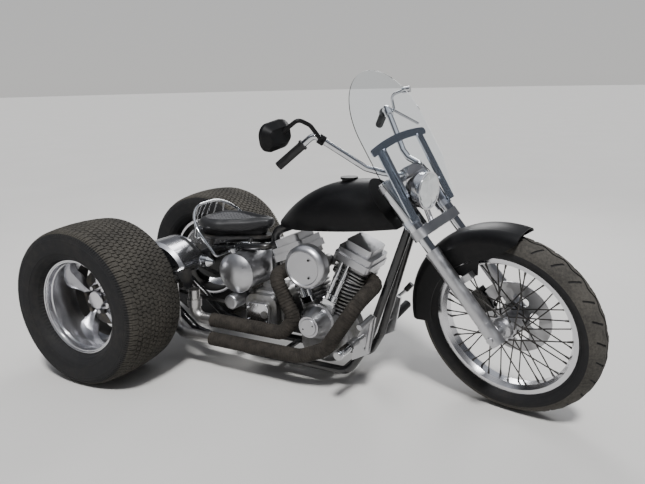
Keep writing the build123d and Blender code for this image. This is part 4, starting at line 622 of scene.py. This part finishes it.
for side_name, side in (("right", -1), ("left", 1)):
    wheel = turned(wheel_outline)
    corners = [edge for edge in wheel.edges if edge.calc_face_angle(0) > BARREL_CORNER_ANGLE]
    round_edges(wheel, corners, BARREL_EDGE_R, segments=2)
    centre_cap = turned(cap_outline)
    cap_mesh = bpy.data.meshes.new("cap")
    centre_cap.to_mesh(cap_mesh)
    centre_cap.free()
    wheel.from_mesh(cap_mesh)
    for spoke_number in range(WHEEL_SPOKES):
        front = bmesh.ops.create_grid(wheel, x_segments=8, y_segments=6, size=1)["verts"]
        for vertex in front:
            along, across = (vertex.co.x + 1) / 2, vertex.co.y
            half_width = SPOKE_HALF_W + SPOKE_FLARE * along**1.8
            crest = (1 - abs(across) ** 3.2) ** 0.6
            vertex.co = (
                across * half_width,
                SPOKE_FOOT_Y + SPOKE_CREST * crest - SPOKE_FALL * along,
                SPOKE_ROOT_R + SPOKE_REACH * along,
            )
        faces = list({face for vertex in front for face in vertex.link_faces})
        walls = bmesh.ops.extrude_face_region(wheel, geom=faces)["geom"]
        back = [part for part in walls if isinstance(part, bmesh.types.BMVert)]
        for vertex in back:
            vertex.co.y = SPOKE_BACK_Y
        bmesh.ops.rotate(
            wheel,
            verts=list({vertex for face in faces for vertex in face.verts} | set(back)),
            cent=(0, 0, 0),
            matrix=Matrix.Rotation(math.tau * spoke_number / WHEEL_SPOKES, 3, "Y"),
        )
    # Faces inside the barrel behind the spokes take the near-black finish: painted shade with some
    # brake dust.
    for face in wheel.faces:
        middle = face.calc_center_median()
        reach = math.hypot(middle.x, middle.z)
        if middle.y < SPOKE_BACK_Y + BACK_SHADE_DEPTH and BACK_SHADE_IN_R < reach < BACK_SHADE_OUT_R:
            face.material_index = 1
    for nut_number in range(WHEEL_NUTS):
        turn = math.tau * (nut_number + 0.5) / WHEEL_NUTS
        nut_place = (
            NUT_CIRCLE_R * math.sin(turn),
            NUT_MIDDLE_Y,
            NUT_CIRCLE_R * math.cos(turn),
        )
        bmesh.ops.create_cone(
            wheel,
            cap_ends=True,
            segments=6,
            radius1=NUT_R,
            radius2=NUT_TIP_R,
            depth=NUT_L,
            matrix=Matrix.Translation(nut_place) @ Matrix.Rotation(-math.pi / 2, 4, "X"),
        )
    if side < 0:
        bmesh.ops.scale(wheel, verts=wheel.verts, vec=(1, -1, 1))
    bmesh.ops.recalc_face_normals(wheel, faces=wheel.faces)
    wheel_centre = Vector((REAR_X, side * HALF_TRACK, REAR_TYRE_R))
    bmesh.ops.translate(wheel, verts=wheel.verts, vec=wheel_centre)
    rear_wheel = mesh_object(
        f"dished_wheel_{side_name}", wheel, polished, f"wheel_rear_{side_name}"
    )
    rear_wheel.data.materials.append(brake_dust_and_painted_shade.material)
    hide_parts(f"rear_wheel_{side_name}")

# Rear drums, axle housing and final drive
# Cast iron drums with the wheel studs, a painted steel axle tube between them and the
# toothed rubber belt round its pulleys, all dulled by road dust.
drum_iron = Finish("dusty_drum_iron", Metallic=0.5)
drum_dust = drum_iron.grain(16.0, 6.0, 0.6)
drum_shade = drum_dust.between(0.35, 0.7).tint((0.03, 0.03, 0.03), (0.12, 0.105, 0.085))
drum_iron.feed("Base Color", drum_shade)
drum_iron.feed("Roughness", drum_dust * 0.3 + 0.45)
coat(["rear_drum_right", "rear_drum_left"], drum_iron)

black_steel = Finish("semi_gloss_black_steel", Specular_IOR_Level=0.5)
steel_dust = black_steel.grain(18.0, 7.0, 0.65)
steel_shade = steel_dust.between(0.45, 0.8).tint((0.012, 0.012, 0.013), (0.07, 0.062, 0.052))
black_steel.feed("Base Color", steel_shade)
black_steel.feed("Roughness", steel_dust * 0.35 + 0.25)
coat(["axle_housing", "primary_cover", "brake_caliper"], black_steel)

belt_rubber = Finish("belt_rubber", Roughness=0.75)
belt_fuzz = belt_rubber.grain(140.0, 4.0)
belt_rubber.feed("Base Color", belt_fuzz.tint((0.012, 0.012, 0.012), (0.045, 0.043, 0.04)))
coat(["final_drive"], belt_rubber)

# Frame
# Welded steel tube with the brackets of the axle covers, painted gloss black and dulled in
# patches by road dust.
frame_paint = Finish("black_frame_paint", Coat_Weight=0.6, Coat_Roughness=0.12)
frame_dust = frame_paint.grain(10.0, 7.0, 0.6)
frame_shade = frame_dust.between(0.5, 0.85).tint((0.006, 0.006, 0.007), (0.05, 0.045, 0.038))
frame_paint.feed("Base Color", frame_shade)
frame_paint.feed("Roughness", frame_dust * 0.3 + 0.15)
coat(["frame_main", "frame_rear", "cover_brackets"], frame_paint)

# Engine and gearbox castings
# The crankcase, finned cylinders, gearbox and carburettor are sand-cast alloy, left rough and
# darkened by dust in their hollows.
cast = Finish("cast_alloy", Metallic=0.85)
cast_dust = cast.grain(12.0, 8.0, 0.62)
cast_shade = cast_dust.between(0.3, 0.72).tint((0.36, 0.36, 0.37), (0.17, 0.165, 0.15))
cast.feed("Base Color", cast_shade)
cast.feed("Roughness", cast_dust * 0.25 + 0.3)
cast.emboss(cast.grain(420.0, 3.0), 0.12, 0.001)
coat(["cylinders", "crankcase", "transmission", "carburettor"], cast)

# Engine covers
# Rocker boxes, cam cover, air cleaner and oil tank in satin polished alloy, and bright plated
# pushrod tubes and oil cap. Their screws have a chamfered head, chromed or blackened.
coat(["rocker_boxes", "cam_cover", "air_cleaner", "oil_tank", "oil_filter"], satin)
chrome = Finish("chrome", Base_Color=(0.66, 0.67, 0.69), Metallic=1.0)
chrome_haze = chrome.grain(25.0, 5.0, 0.6)
chrome.feed("Roughness", chrome_haze.between(0.35, 0.8) * 0.1 + 0.05)
coat(["pushrod_tubes", "oil_cap"], chrome)
dark_screw = Finish("blackened_screw_steel", Metallic=0.8)
screw_oil = dark_screw.grain(300.0, 3.0)
dark_screw.feed("Base Color", screw_oil.tint((0.012, 0.012, 0.013), (0.05, 0.048, 0.045)))
dark_screw.feed("Roughness", screw_oil * 0.2 + 0.35)


def cap_screws(name, places, radius, height, finish, sides=6):
    """Hexagon or round screw heads with a chamfered top, facing right from each place."""
    heads = bmesh.new()
    turn = Vector((0, -1, 0)).to_track_quat("Z", "Y").to_matrix().to_4x4()
    for place in places:
        for low, high, wide, narrow in (
            (0, height * 0.75, radius, radius),
            (height * 0.75, height, radius, radius * 0.82),
        ):
            bmesh.ops.create_cone(
                heads,
                cap_ends=True,
                segments=sides,
                radius1=wide,
                radius2=narrow,
                depth=high - low,
                matrix=Matrix.Translation(place)
                @ turn
                @ Matrix.Translation((0, 0, (low + high) / 2)),
            )
    bmesh.ops.remove_doubles(heads, verts=heads.verts, dist=1e-6)
    bmesh.ops.recalc_face_normals(heads, faces=heads.faces)
    screws = mesh_object(name, heads, finish, "chassis", smooth=False)


# Gearbox side cover
# A cast plate with round corners, polished bright and bolted over the right end of the
# gearbox.
PLATE_L = 0.112
PLATE_T = 0.009
PLATE_H = 0.104
PLATE_CENTRE = Vector((REAR_X + 0.630, -0.1425, 0.275))
PLATE_CORNER_R = 0.024
PLATE_EDGE_R = 0.0028
plate_outer_y = PLATE_CENTRE.y - PLATE_T / 2
gear_plate = bmesh.new()
bmesh.ops.create_cube(
    gear_plate,
    size=1,
    matrix=Matrix.Translation(PLATE_CENTRE) @ Matrix.Diagonal((PLATE_L, PLATE_T, PLATE_H, 1)),
)
uprights = [
    edge
    for edge in gear_plate.edges
    if abs((edge.verts[0].co - edge.verts[1].co).normalized().y) > 0.9
]
round_edges(gear_plate, uprights, PLATE_CORNER_R, segments=8)
outer_rim = [
    edge
    for edge in gear_plate.edges
    if max(vertex.co.y for vertex in edge.verts) < plate_outer_y + 0.0001
    and len({len(face.verts) for face in edge.link_faces}) > 1
]
round_edges(gear_plate, outer_rim, PLATE_EDGE_R, segments=3)
bmesh.ops.recalc_face_normals(gear_plate, faces=gear_plate.faces)
gear_cover = mesh_object("gearbox_side_plate", gear_plate, polished, "chassis")

# Cover screws
# Steel screws in tapped holes: two dark socket ones hold the air cleaner, six bright hexagon
# ones the gearbox's plate, and five bright ones and two dark ones the cam cover.
air_lo, air_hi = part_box("air_cleaner")
air_middle = Vector(((air_lo[0] + air_hi[0]) / 2, air_lo[1], (air_lo[2] + air_hi[2]) / 2))
cap_screws(
    "air_cleaner_screws",
    [air_middle + Vector((0.026, 0.0008, height)) for height in (-0.036, 0.036)],
    radius=0.0048,
    height=0.0022,
    finish=dark_screw,
    sides=16,
)
plate_corners = [(along, height) for along in (-0.046, 0.046) for height in (-0.028, 0.028)]
cap_screws(
    "gearbox_plate_screws",
    [
        Vector((PLATE_CENTRE.x + along, plate_outer_y + 0.0002, PLATE_CENTRE.z + height))
        for along, height in plate_corners + [(0, 0.043), (0, -0.043)]
    ],
    radius=0.0052,
    height=0.0045,
    finish=chrome,
)
cam_lo, cam_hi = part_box("cam_cover")
cam_middle = Vector(((cam_lo[0] + cam_hi[0]) / 2, cam_hi[1] - 0.007, (cam_lo[2] + cam_hi[2]) / 2))
CAM_FLANGE_CIRCLE_R = 0.0712
CAM_NOSE_CIRCLE_R = 0.024
flange_turns = [math.radians(18 + 72 * number) for number in range(5)]
cap_screws(
    "cam_flange_screws",
    [
        cam_middle + CAM_FLANGE_CIRCLE_R * Vector((math.cos(turn), 0, math.sin(turn)))
        for turn in flange_turns
    ],
    radius=0.0042,
    height=0.004,
    finish=chrome,
)
nose_middle = Vector((cam_middle.x, cam_lo[1] + 0.0004, cam_middle.z))
cap_screws(
    "cam_nose_screws",
    [
        nose_middle + CAM_NOSE_CIRCLE_R * Vector((math.cos(turn), 0, math.sin(turn)))
        for turn in (0.4, math.pi + 0.4)
    ],
    radius=0.0035,
    height=0.0016,
    finish=dark_screw,
    sides=16,
)

# Exhaust tails
# Bare steel tube ends that turn up behind the wraps, bent in one piece with the headers and
# dulled by heat to a soft grey.
tail_steel = Finish("dull_bright_tube", Metallic=1.0)
tail_heat = tail_steel.grain(9.0, 5.0, 0.6)
tail_steel.feed("Base Color", tail_heat.tint((0.60, 0.60, 0.62), (0.48, 0.46, 0.43)))
tail_steel.feed("Roughness", tail_heat * 0.12 + 0.30)
tail_steel.emboss(tail_steel.grain(420.0, 2.0), 0.05, 0.0005)
coat(["exhaust_pipes"], tail_steel)

# Axle covers
# Half drums of polished aluminium sheet over the axle, each with a small window of black
# mesh let into its top near the inner end.
cover_sheet = Finish("brushed_cover_sheet", Base_Color=(0.60, 0.60, 0.62), Metallic=1.0)
cover_lines = cover_sheet.grain(60.0, 3.0, 0.6, source=cover_sheet.stretched((1, 0.08, 1)))
cover_sheet.feed("Roughness", cover_lines * 0.12 + 0.20)
cover_sheet.emboss(cover_lines, 0.02, 0.0003)
coat(["axle_cover_right", "axle_cover_left"], cover_sheet)
coat(["marker_lamps"], chrome)
mesh_black = Finish("black_wire_mesh", Metallic=0.4, Roughness=0.5)
wire_place = mesh_black.stretched((1250, 1250, 1250))
wire_along = wire_place.part(1).maths("SINE")
wire_round = wire_place.part(0).maths("SINE")
wires = (wire_along * wire_round).between(-0.1, 0.25)
mesh_black.feed("Base Color", wires.tint((0.002, 0.002, 0.002), (0.05, 0.05, 0.052)))
mesh_black.emboss(wires, 0.5, 0.0008)
COVER_AXIS = Vector((REAR_X + 0.188, 0, 0.420))
COVER_IN_R = 0.1522
COVER_OUT_R = 0.1598
MESH_OUT_R = 0.1562
FILL_Y = 0.135
FILL_HALF_W = 0.01295
# columns: name, finish, start and end of the arc in degrees above the front, outer radius
cover_fills = [
    ("rear_fill", cover_sheet, 78, 156.2, COVER_OUT_R),
    ("front_fill", cover_sheet, 23.8, 34, COVER_OUT_R),
    ("mesh_window", mesh_black, 34, 78, MESH_OUT_R),
]
for side_name, side in (("right", -1), ("left", 1)):
    for fill_name, finish, start_turn, end_turn, radius in cover_fills:
        band = bmesh.new()
        bmesh.ops.create_grid(band, x_segments=1, y_segments=1, size=1)
        for vertex in band.verts:
            across = side * (FILL_Y + FILL_HALF_W * vertex.co.x)
            reach = COVER_IN_R if vertex.co.y < 0 else radius
            vertex.co = (
                reach * math.cos(math.radians(start_turn)),
                across,
                reach * math.sin(math.radians(start_turn)),
            )
        bmesh.ops.spin(
            band,
            geom=band.faces[:],
            axis=(0, -1, 0),
            cent=(0, 0, 0),
            angle=math.radians(end_turn - start_turn),
            steps=24,
        )
        bmesh.ops.recalc_face_normals(band, faces=band.faces)
        bmesh.ops.translate(band, verts=band.verts, vec=COVER_AXIS)
        fill = mesh_object(f"cover_{fill_name}_{side_name}", band, finish, "chassis")

# Exhaust wraps
# Woven charcoal heat tape, wound by hand in overlapping turns round both header pipes from
# the cylinder heads' ports to the bare tails.
TAPE_PITCH = 0.0128
TAPE_LAP = 0.0028
TAPE_MIDDLE_R = 0.0303
RING_STEP = 0.0032
WRAP_END_X = REAR_X + 0.425
LOW_PIPE_Y = -0.212
LOW_PIPE_Z = 0.152
HIGH_PIPE_Y = -0.196
HIGH_PIPE_Z = 0.234
CRANK = Vector((REAR_X + 0.914, 0, 0.192))
V_HALF_ANGLE = math.radians(22.5)


def rounded_run(corners, bends):
    """Points every few millimetres along straight runs joined by tangent arcs."""
    corners = [Vector(corner) for corner in corners]
    run = [corners[0]]
    for before, corner, after, bend in zip(corners, corners[1:], corners[2:], bends):
        way_in = (corner - before).normalized()
        way_out = (after - corner).normalized()
        half_turn = way_in.angle(way_out) / 2
        reach = bend * math.tan(half_turn)
        centre = corner + (way_out - way_in).normalized() * (bend / math.cos(half_turn))
        start, end = corner - way_in * reach - centre, corner + way_out * reach - centre
        steps = max(2, round(bend * 2 * half_turn / RING_STEP))
        run += [centre + start.slerp(end, step / steps) * bend for step in range(steps + 1)]
    run.append(corners[-1])
    spaced = [run[0]]
    for point in run[1:]:
        steps = round((point - spaced[-1]).length / RING_STEP)
        for steps_left in range(steps, 0, -1):
            spaced.append(spaced[-1].lerp(point, 1 / steps_left))
    return spaced


def lagged_pipe(run, radius, lap):
    """A tube along a run of points whose skin steps up by lap at each turn of tape."""
    pipe = bmesh.new()
    way = (run[1] - run[0]).normalized()
    ring = bmesh.ops.create_circle(
        pipe,
        cap_ends=True,
        segments=28,
        radius=radius,
        matrix=Matrix.Translation(run[0]) @ way.to_track_quat("Z", "Y").to_matrix().to_4x4(),
    )["verts"]
    edges = list({edge for vertex in ring for edge in vertex.link_edges})
    size = radius
    travelled = 0.0
    for number, (here, there) in enumerate(zip(run, run[1:])):
        after = run[min(number + 2, len(run) - 1)]
        new_way = (after - here).normalized()
        grown = bmesh.ops.extrude_edge_only(pipe, edges=edges)["geom"]
        ring = [part for part in grown if isinstance(part, bmesh.types.BMVert)]
        edges = [part for part in grown if isinstance(part, bmesh.types.BMEdge)]
        travelled += (there - here).length
        turn_share = travelled / TAPE_PITCH % 1
        new_size = radius + lap * (turn_share - 0.5)
        bmesh.ops.transform(
            pipe,
            verts=ring,
            matrix=Matrix.Translation(there)
            @ way.rotation_difference(new_way).to_matrix().to_4x4()
            @ Matrix.Scale(new_size / size, 4)
            @ Matrix.Translation(-here),
        )
        way, size = new_way, new_size
    bmesh.ops.contextual_create(pipe, geom=edges)
    bmesh.ops.recalc_face_normals(pipe, faces=pipe.faces)
    return pipe


wrap_tape = Finish("heat_wrap_tape", Roughness=0.92, Specular_IOR_Level=0.25)
tape_weave = wrap_tape.grain(420.0, 3.0, 0.6)
tape_fray = wrap_tape.grain(30.0, 6.0, 0.65) * 0.5 + tape_weave * 0.5
tape_shade = tape_fray.between(0.3, 0.72).tint((0.010, 0.009, 0.008), (0.050, 0.043, 0.036))
wrap_tape.feed("Base Color", tape_shade)
wrap_tape.emboss(tape_weave, 0.6, 0.0012)


def by_bore(lean_way, height, across, side):
    """A point beside the front (1) or rear (-1) bore: up it, forward of it and to the left."""
    lean = V_HALF_ANGLE * lean_way
    up_bore = Vector((math.sin(lean), 0, math.cos(lean)))
    across_bore = Vector((math.cos(lean), 0, -math.sin(lean)))
    return CRANK + up_bore * height + across_bore * across + Vector((0, side, 0))


rear_port = by_bore(-1, 0.326, -0.034, -0.080)
front_header = [
    by_bore(1, 0.332, 0.0783, -0.040),
    by_bore(1, 0.332, 0.1183, -0.040),
    (REAR_X + 1.146, LOW_PIPE_Y, 0.426),
    (REAR_X + 1.000, LOW_PIPE_Y, 0.205),
    (REAR_X + 0.880, LOW_PIPE_Y, LOW_PIPE_Z),
    (WRAP_END_X, LOW_PIPE_Y, LOW_PIPE_Z),
]
rear_header = [
    rear_port,
    (rear_port.x, HIGH_PIPE_Y, rear_port.z),
    (REAR_X + 0.850, HIGH_PIPE_Y, 0.306),
    (REAR_X + 0.786, HIGH_PIPE_Y, HIGH_PIPE_Z),
    (WRAP_END_X, HIGH_PIPE_Y, HIGH_PIPE_Z),
]
front_run = rounded_run(front_header, [0.034, 0.060, 0.110, 0.120])
rear_run = rounded_run(rear_header, [0.044, 0.046, 0.046])
wraps = lagged_pipe(front_run, TAPE_MIDDLE_R, TAPE_LAP)
rear_wrap = lagged_pipe(rear_run, TAPE_MIDDLE_R, TAPE_LAP)
wrap_mesh = bpy.data.meshes.new("rear_wrap")
rear_wrap.to_mesh(wrap_mesh)
rear_wrap.free()
wraps.from_mesh(wrap_mesh)
header_wraps = mesh_object("header_wraps", wraps, wrap_tape, "chassis", smooth=False)
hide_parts("exhaust_wraps")

# Fuel tank and front mudguard
# Pressed and welded steel sheet, painted satin black and greyed a little by fine dust. The
# mudguard hangs on brushed steel brackets between the fork's sliders.
body_black = Finish("satin_black_paint", Specular_IOR_Level=0.2)
paint_dust = body_black.grain(6.0, 7.0, 0.6) * 0.6 + body_black.grain(60.0, 5.0, 0.6) * 0.4
paint_shade = paint_dust.between(0.45, 0.85).tint((0.0035, 0.0035, 0.004), (0.014, 0.0135, 0.013))
body_black.feed("Base Color", paint_shade)
body_black.feed("Roughness", paint_dust * 0.15 + 0.34)
coat(["fuel_tank", "fuel_cap", "front_mudguard"], body_black)
coat(["mudguard_brackets"], brushed)

# Seat
# A dished solo seat on its painted steel pan, with a chrome hoop behind: a fat rolled edge
# round a woven top, both of black leather over foam, and the nose turned up to the tank.
coat(["seat_pan"], black_steel)
coat(["seat_hoop"], chrome)
SEAT_REAR_X = REAR_X + 0.390
SEAT_REAR_R = 0.133
NOSE_REACH = 0.206
NOSE_R = 0.042
NOSE_BLEND = 0.5
SEAT_SLOPE = (SEAT_REAR_R - NOSE_R) / NOSE_REACH
SEAT_FOOT_Z = 0.5965
SEAT_SIDE_H = 0.049
TIP_X = -0.258
TIP_L = 0.03
WEAVE_INSET = 0.041
WEAVE_BLEND = 0.005
WEAVE_DROP = 0.035
SEAT_VOXEL = 0.005
SWELL_CAP = 0.005
# columns: place along the seat, height of the rolled edge
seat_crest = [
    (-0.585, 0.662),
    (-0.52, 0.672),
    (-0.40, 0.668),
    (-0.30, 0.671),
    (-0.245, 0.680),
    (-0.2, 0.683),
]
# columns: distance in from the edge, level that it starts from, way up or down from there
seat_section = [
    (1.0, "foot", 0.0),
    (0.060, "foot", 0.0),
    (0.030, "foot", 0.0),
    (0.024, "foot", 0.004),
    (0.022, "crest", 0.050),
    (0.014, "crest", 0.046),
    (0.006, "crest", 0.039),
    (0.001, "crest", 0.030),
    (0.0, "crest", 0.021),
    (0.002, "crest", 0.012),
    (0.008, "crest", 0.004),
    (0.016, "crest", 0.0005),
    (0.023, "crest", 0.0),
    (0.031, "crest", 0.003),
    (0.037, "crest", 0.009),
    (0.041, "crest", 0.0145),
    (0.044, "crest", 0.0145),
    (0.050, "crest", 0.013),
    (0.066, "crest", 0.015),
    (0.085, "crest", 0.018),
    (1.0, "crest", 0.021),
]


def crest_at(x):
    """Height of the rolled edge at a place along the seat."""
    for (x_a, z_a), (x_b, z_b) in zip(seat_crest, seat_crest[1:]):
        if x <= x_b:
            return z_a + (z_b - z_a) * max(0.0, (x - x_a) / (x_b - x_a))
    return seat_crest[-1][1]


def seat_inset(x, y):
    """How far in from the seat's edge a point in plan is."""
    straight = math.sqrt(1 - SEAT_SLOPE**2)
    x, y = x - SEAT_REAR_X, abs(y)
    along = straight * x - SEAT_SLOPE * y
    if along < 0:
        return SEAT_REAR_R - math.hypot(x, y)
    if along > straight * NOSE_REACH:
        return NOSE_R - math.hypot(x - NOSE_REACH, y)
    return SEAT_REAR_R - straight * y - SEAT_SLOPE * x


seat_maker = bmesh.new()
bmesh.ops.create_grid(seat_maker, x_segments=96, y_segments=len(seat_section) - 1, size=1)
lean = math.acos(SEAT_SLOPE)
for vertex in seat_maker.verts:
    turn = math.pi * vertex.co.x
    inset, level, rise = seat_section[round((vertex.co.y + 1) / 2 * (len(seat_section) - 1))]
    nose_share = min(1.0, max(0.0, (lean + NOSE_BLEND / 2 - abs(turn)) / NOSE_BLEND))
    edge_r = SEAT_REAR_R + (NOSE_R - SEAT_REAR_R) * nose_share
    reach = max(0.0, edge_r - inset)
    x = SEAT_REAR_X + NOSE_REACH * nose_share + reach * math.cos(turn)
    tip = min(1.0, max(0.0, (x - TIP_X) / TIP_L))
    tip_rise = tip * tip * (3 - 2 * tip)
    foot = SEAT_FOOT_Z + (crest_at(x) - SEAT_SIDE_H - SEAT_FOOT_Z) * tip_rise
    height = foot + rise if level == "foot" else crest_at(x) - rise
    vertex.co = (x, reach * math.sin(turn), height)
bmesh.ops.remove_doubles(seat_maker, verts=seat_maker.verts, dist=1e-5)
bmesh.ops.recalc_face_normals(seat_maker, faces=seat_maker.faces)
leather = Finish("woven_black_leather", Specular_IOR_Level=0.38)
leather_grain = leather.grain(320.0, 4.0, 0.6)
woven = leather.place.node("Attribute", {"attribute_name": "woven"}, output=2)
strap_place = leather.stretched((230, 230, 230), (0, 0, math.radians(45)))
strap_x = strap_place.part(0).maths("SINE")
strap_y = strap_place.part(1).maths("SINE")
over = (strap_x * strap_y).between(-0.08, 0.08)
strap_height = over * strap_x.maths("ABSOLUTE") + (1 - over) * strap_y.maths("ABSOLUTE")
plain = 1 - woven
seat_relief = woven * strap_height.between(0.05, 0.75) + plain * (leather_grain * 0.12 + 0.6)
# The weave's strap crests are painted lighter and the gaps between straps darker: painted
# highlight and painted shade. The plain leather varies at random with its grain.
painted_weave_highlight_and_grain = woven * (strap_height * 0.9 + leather_grain * 0.2) + plain * leather_grain * 0.3
leather.feed("Base Color", painted_weave_highlight_and_grain.tint((0.003, 0.003, 0.0035), (0.085, 0.085, 0.09)))
leather.feed("Roughness", leather_grain * 0.2 + 0.36)
leather.emboss(seat_relief, 0.8, 0.0022)
seat = mesh_object("stuffed_seat", seat_maker, leather, "chassis")
start_shape = seat.modifiers.new("even_skin", "REMESH")
start_shape.mode = "VOXEL"
start_shape.voxel_size = SEAT_VOXEL
graph = bpy.context.evaluated_depsgraph_get()
even_mesh = bpy.data.meshes.new_from_object(seat.evaluated_get(graph))
seat.modifiers.clear()
seat.data = even_mesh
before = [vertex.co.copy() for vertex in seat.data.vertices]
stuffing = seat.modifiers.new("stuffing", "CLOTH")
stuffing.settings.use_pressure = True
stuffing.settings.uniform_pressure_force = 4
stuffing.settings.effector_weights.gravity = 0
for number in range(1, 21):
    bpy.context.scene.frame_set(number)
graph = bpy.context.evaluated_depsgraph_get()
after = bpy.data.meshes.new_from_object(seat.evaluated_get(graph))
seat.modifiers.clear()
bpy.context.scene.frame_set(1)
for vertex, swollen, old in zip(seat.data.vertices, after.vertices, before):
    move = swollen.co - old
    if move.length > SWELL_CAP:
        move = move.normalized() * SWELL_CAP
    vertex.co = old + move
    vertex.co.z = max(vertex.co.z, SEAT_FOOT_Z)
evening = seat.modifiers.new("evening", "SMOOTH")
evening.factor = 0.5
evening.iterations = 6
rounding = seat.modifiers.new("rounding", "SUBSURF")
rounding.levels = rounding.render_levels = 1
graph = bpy.context.evaluated_depsgraph_get()
smooth_mesh = bpy.data.meshes.new_from_object(seat.evaluated_get(graph))
seat.modifiers.clear()
seat.data = smooth_mesh
seat.data.shade_smooth()
woven_share = seat.data.attributes.new("woven", "FLOAT", "POINT")
for number, vertex in enumerate(seat.data.vertices):
    x, y, z = vertex.co
    share = min(1.0, max(0.0, (seat_inset(x, y) - WEAVE_INSET) / WEAVE_BLEND))
    woven_share.data[number].value = share if z > crest_at(x) - WEAVE_DROP else 0.0
if not seat.data.materials:
    seat.data.materials.append(leather.material)
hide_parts("seat_pad")

# Fork and handlebar
# Chrome fork tubes and bar, satin alloy sliders and clamps bolted across them, a plated hand
# lever, a black mirror and soft black rubber grips.
coat(["fork_sliders", "lower_clamp", "upper_clamp", "handlebar_clamp"], satin)
coat(["fork_tubes", "fork_shrouds", "handlebar", "left_hand_lever"], chrome)
coat(["right_mirror"], body_black)
grip_rubber = Finish("grip_rubber", Roughness=0.7)
grip_fuzz = grip_rubber.grain(200.0, 4.0)
grip_rubber.feed("Base Color", grip_fuzz.tint((0.010, 0.010, 0.011), (0.03, 0.03, 0.03)))
coat(["handgrips"], grip_rubber)

# Headlight
# A spun chrome bucket on a post, with a fluted glass lens held in by its bright rim.
lamp_shell = Finish("spun_lamp_shell", Base_Color=(0.62, 0.62, 0.64), Metallic=1.0)
lamp_haze = lamp_shell.grain(30.0, 5.0, 0.6)
lamp_shell.feed("Roughness", lamp_haze * 0.12 + 0.14)
coat(["headlight"], lamp_shell)
lens_glass = Finish(
    "fluted_lens_glass", Metallic=0.75, Roughness=0.10, Coat_Weight=1.0, Coat_Roughness=0.03
)
lens_mist = lens_glass.grain(35.0, 4.0, 0.6)
lens_glass.feed("Base Color", lens_mist.tint((0.50, 0.53, 0.55), (0.86, 0.88, 0.88)))
LENS_R = 0.0655
LENS_SEAT_R = 0.066
LENS_RISE = 0.007
LENS_LIFT = 0.0068
LENS_DEPTH = 0.004
LENS_DOME_R = (LENS_SEAT_R**2 + LENS_RISE**2) / (2 * LENS_RISE)
LENS_PLACE = Vector((FRONT_AXLE.x - 0.3078, 0, 0.850))
FLUTE_PITCH = 0.0085
FLUTE_DEPTH = 0.0007
FLUTE_FADE_R = 0.01
lens = bmesh.new()
bmesh.ops.create_grid(lens, x_segments=88, y_segments=12, size=1)
for vertex in lens.verts:
    turn = math.pi * vertex.co.x
    reach = LENS_R * (1 - vertex.co.y) / 2
    dome = math.sqrt(LENS_DOME_R**2 - reach**2) - LENS_DOME_R + LENS_LIFT
    across = reach * math.sin(turn)
    flute_share = min(1.0, reach / FLUTE_FADE_R)
    flute = FLUTE_DEPTH * math.cos(across * math.tau / FLUTE_PITCH) * flute_share
    vertex.co = (dome + flute, across, reach * math.cos(turn))
bmesh.ops.remove_doubles(lens, verts=lens.verts, dist=1e-5)
rim_edges = [edge for edge in lens.edges if edge.is_boundary]
deeper = bmesh.ops.extrude_edge_only(lens, edges=rim_edges)["geom"]
back_verts = [part for part in deeper if isinstance(part, bmesh.types.BMVert)]
bmesh.ops.translate(lens, verts=back_verts, vec=(-LENS_DEPTH, 0, 0))
back_edges = [part for part in deeper if isinstance(part, bmesh.types.BMEdge)]
bmesh.ops.contextual_create(lens, geom=back_edges)
bmesh.ops.recalc_face_normals(lens, faces=lens.faces)
bmesh.ops.translate(lens, verts=lens.verts, vec=LENS_PLACE)
bmesh.ops.transform(lens, verts=lens.verts, matrix=PARKED)
lamp_lens = mesh_object("lamp_lens", lens, lens_glass, "fork")

# Windshield
# A clear, thin polycarbonate sheet with a rounded outline, bolted to chrome straps whose colour
# carries a painted blue reflection of the sky.
strap_chrome = Finish("chrome_with_painted_sky_reflection", Metallic=1.0)
strap_haze_and_sky_reflection = strap_chrome.grain(22.0, 4.0, 0.6)
# The straps' blue is a painted reflection of the sky, mixed at random with plain chrome grey.
strap_chrome.feed("Base Color", strap_haze_and_sky_reflection.tint((0.66, 0.71, 0.80), (0.56, 0.58, 0.62)))
strap_chrome.feed("Roughness", strap_haze_and_sky_reflection * 0.10 + 0.20)
coat(["windshield_frame"], strap_chrome)
clear_sheet = Finish(
    "clear_sheet", Base_Color=(0.93, 0.96, 0.98), Roughness=0.02, IOR=1.2, Transmission_Weight=1.0
)
coat(["windshield"], clear_sheet)

# Foot controls
# Brushed steel pegs and levers. A chrome sleeve with a dark ring is pushed over the right
# peg, and black rubber ones over the left peg and the shift lever's tip.
coat(["foot_control_right", "foot_control_left"], brushed)


def sleeve(name, start, end, from_share, to_share, radius, finish, slot):
    """A round-edged sleeve over part of a rod that runs from start to end."""
    start, end = Vector(start), Vector(end)
    low, high = start.lerp(end, from_share), start.lerp(end, to_share)
    turn = (end - start).to_track_quat("Z", "Y").to_matrix().to_4x4()
    shape = bmesh.new()
    bmesh.ops.create_cone(
        shape,
        cap_ends=True,
        segments=28,
        radius1=radius,
        radius2=radius,
        depth=(high - low).length,
        matrix=Matrix.Translation((low + high) / 2) @ turn,
    )
    # A rim lies between a wall of four corners and an end of many.
    rims = [edge for edge in shape.edges if len({len(face.verts) for face in edge.link_faces}) > 1]
    round_edges(shape, rims, 0.0016, segments=3)
    piece = mesh_object(name, shape, finish, "chassis")


right_peg = ((REAR_X + 1.124, -0.184, 0.256), (REAR_X + 1.102, -0.310, 0.232))
left_peg = ((REAR_X + 1.102, 0.180, 0.194), (REAR_X + 1.151, 0.310, 0.259))
shift_tip = ((REAR_X + 1.180, 0.200, 0.356), (REAR_X + 1.207, 0.204, 0.390))
sleeve("right_peg_sleeve", *right_peg, 0.42, 0.96, 0.0186, chrome, "chrome")
sleeve("right_peg_ring", *right_peg, 0.34, 0.415, 0.0192, grip_rubber, "grip_rubber")
sleeve("left_peg_rubber", *left_peg, 0.20, 0.985, 0.0186, grip_rubber, "grip_rubber")
sleeve("shift_tip_rubber", *shift_tip, 0.1, 0.97, 0.0122, grip_rubber, "grip_rubber")
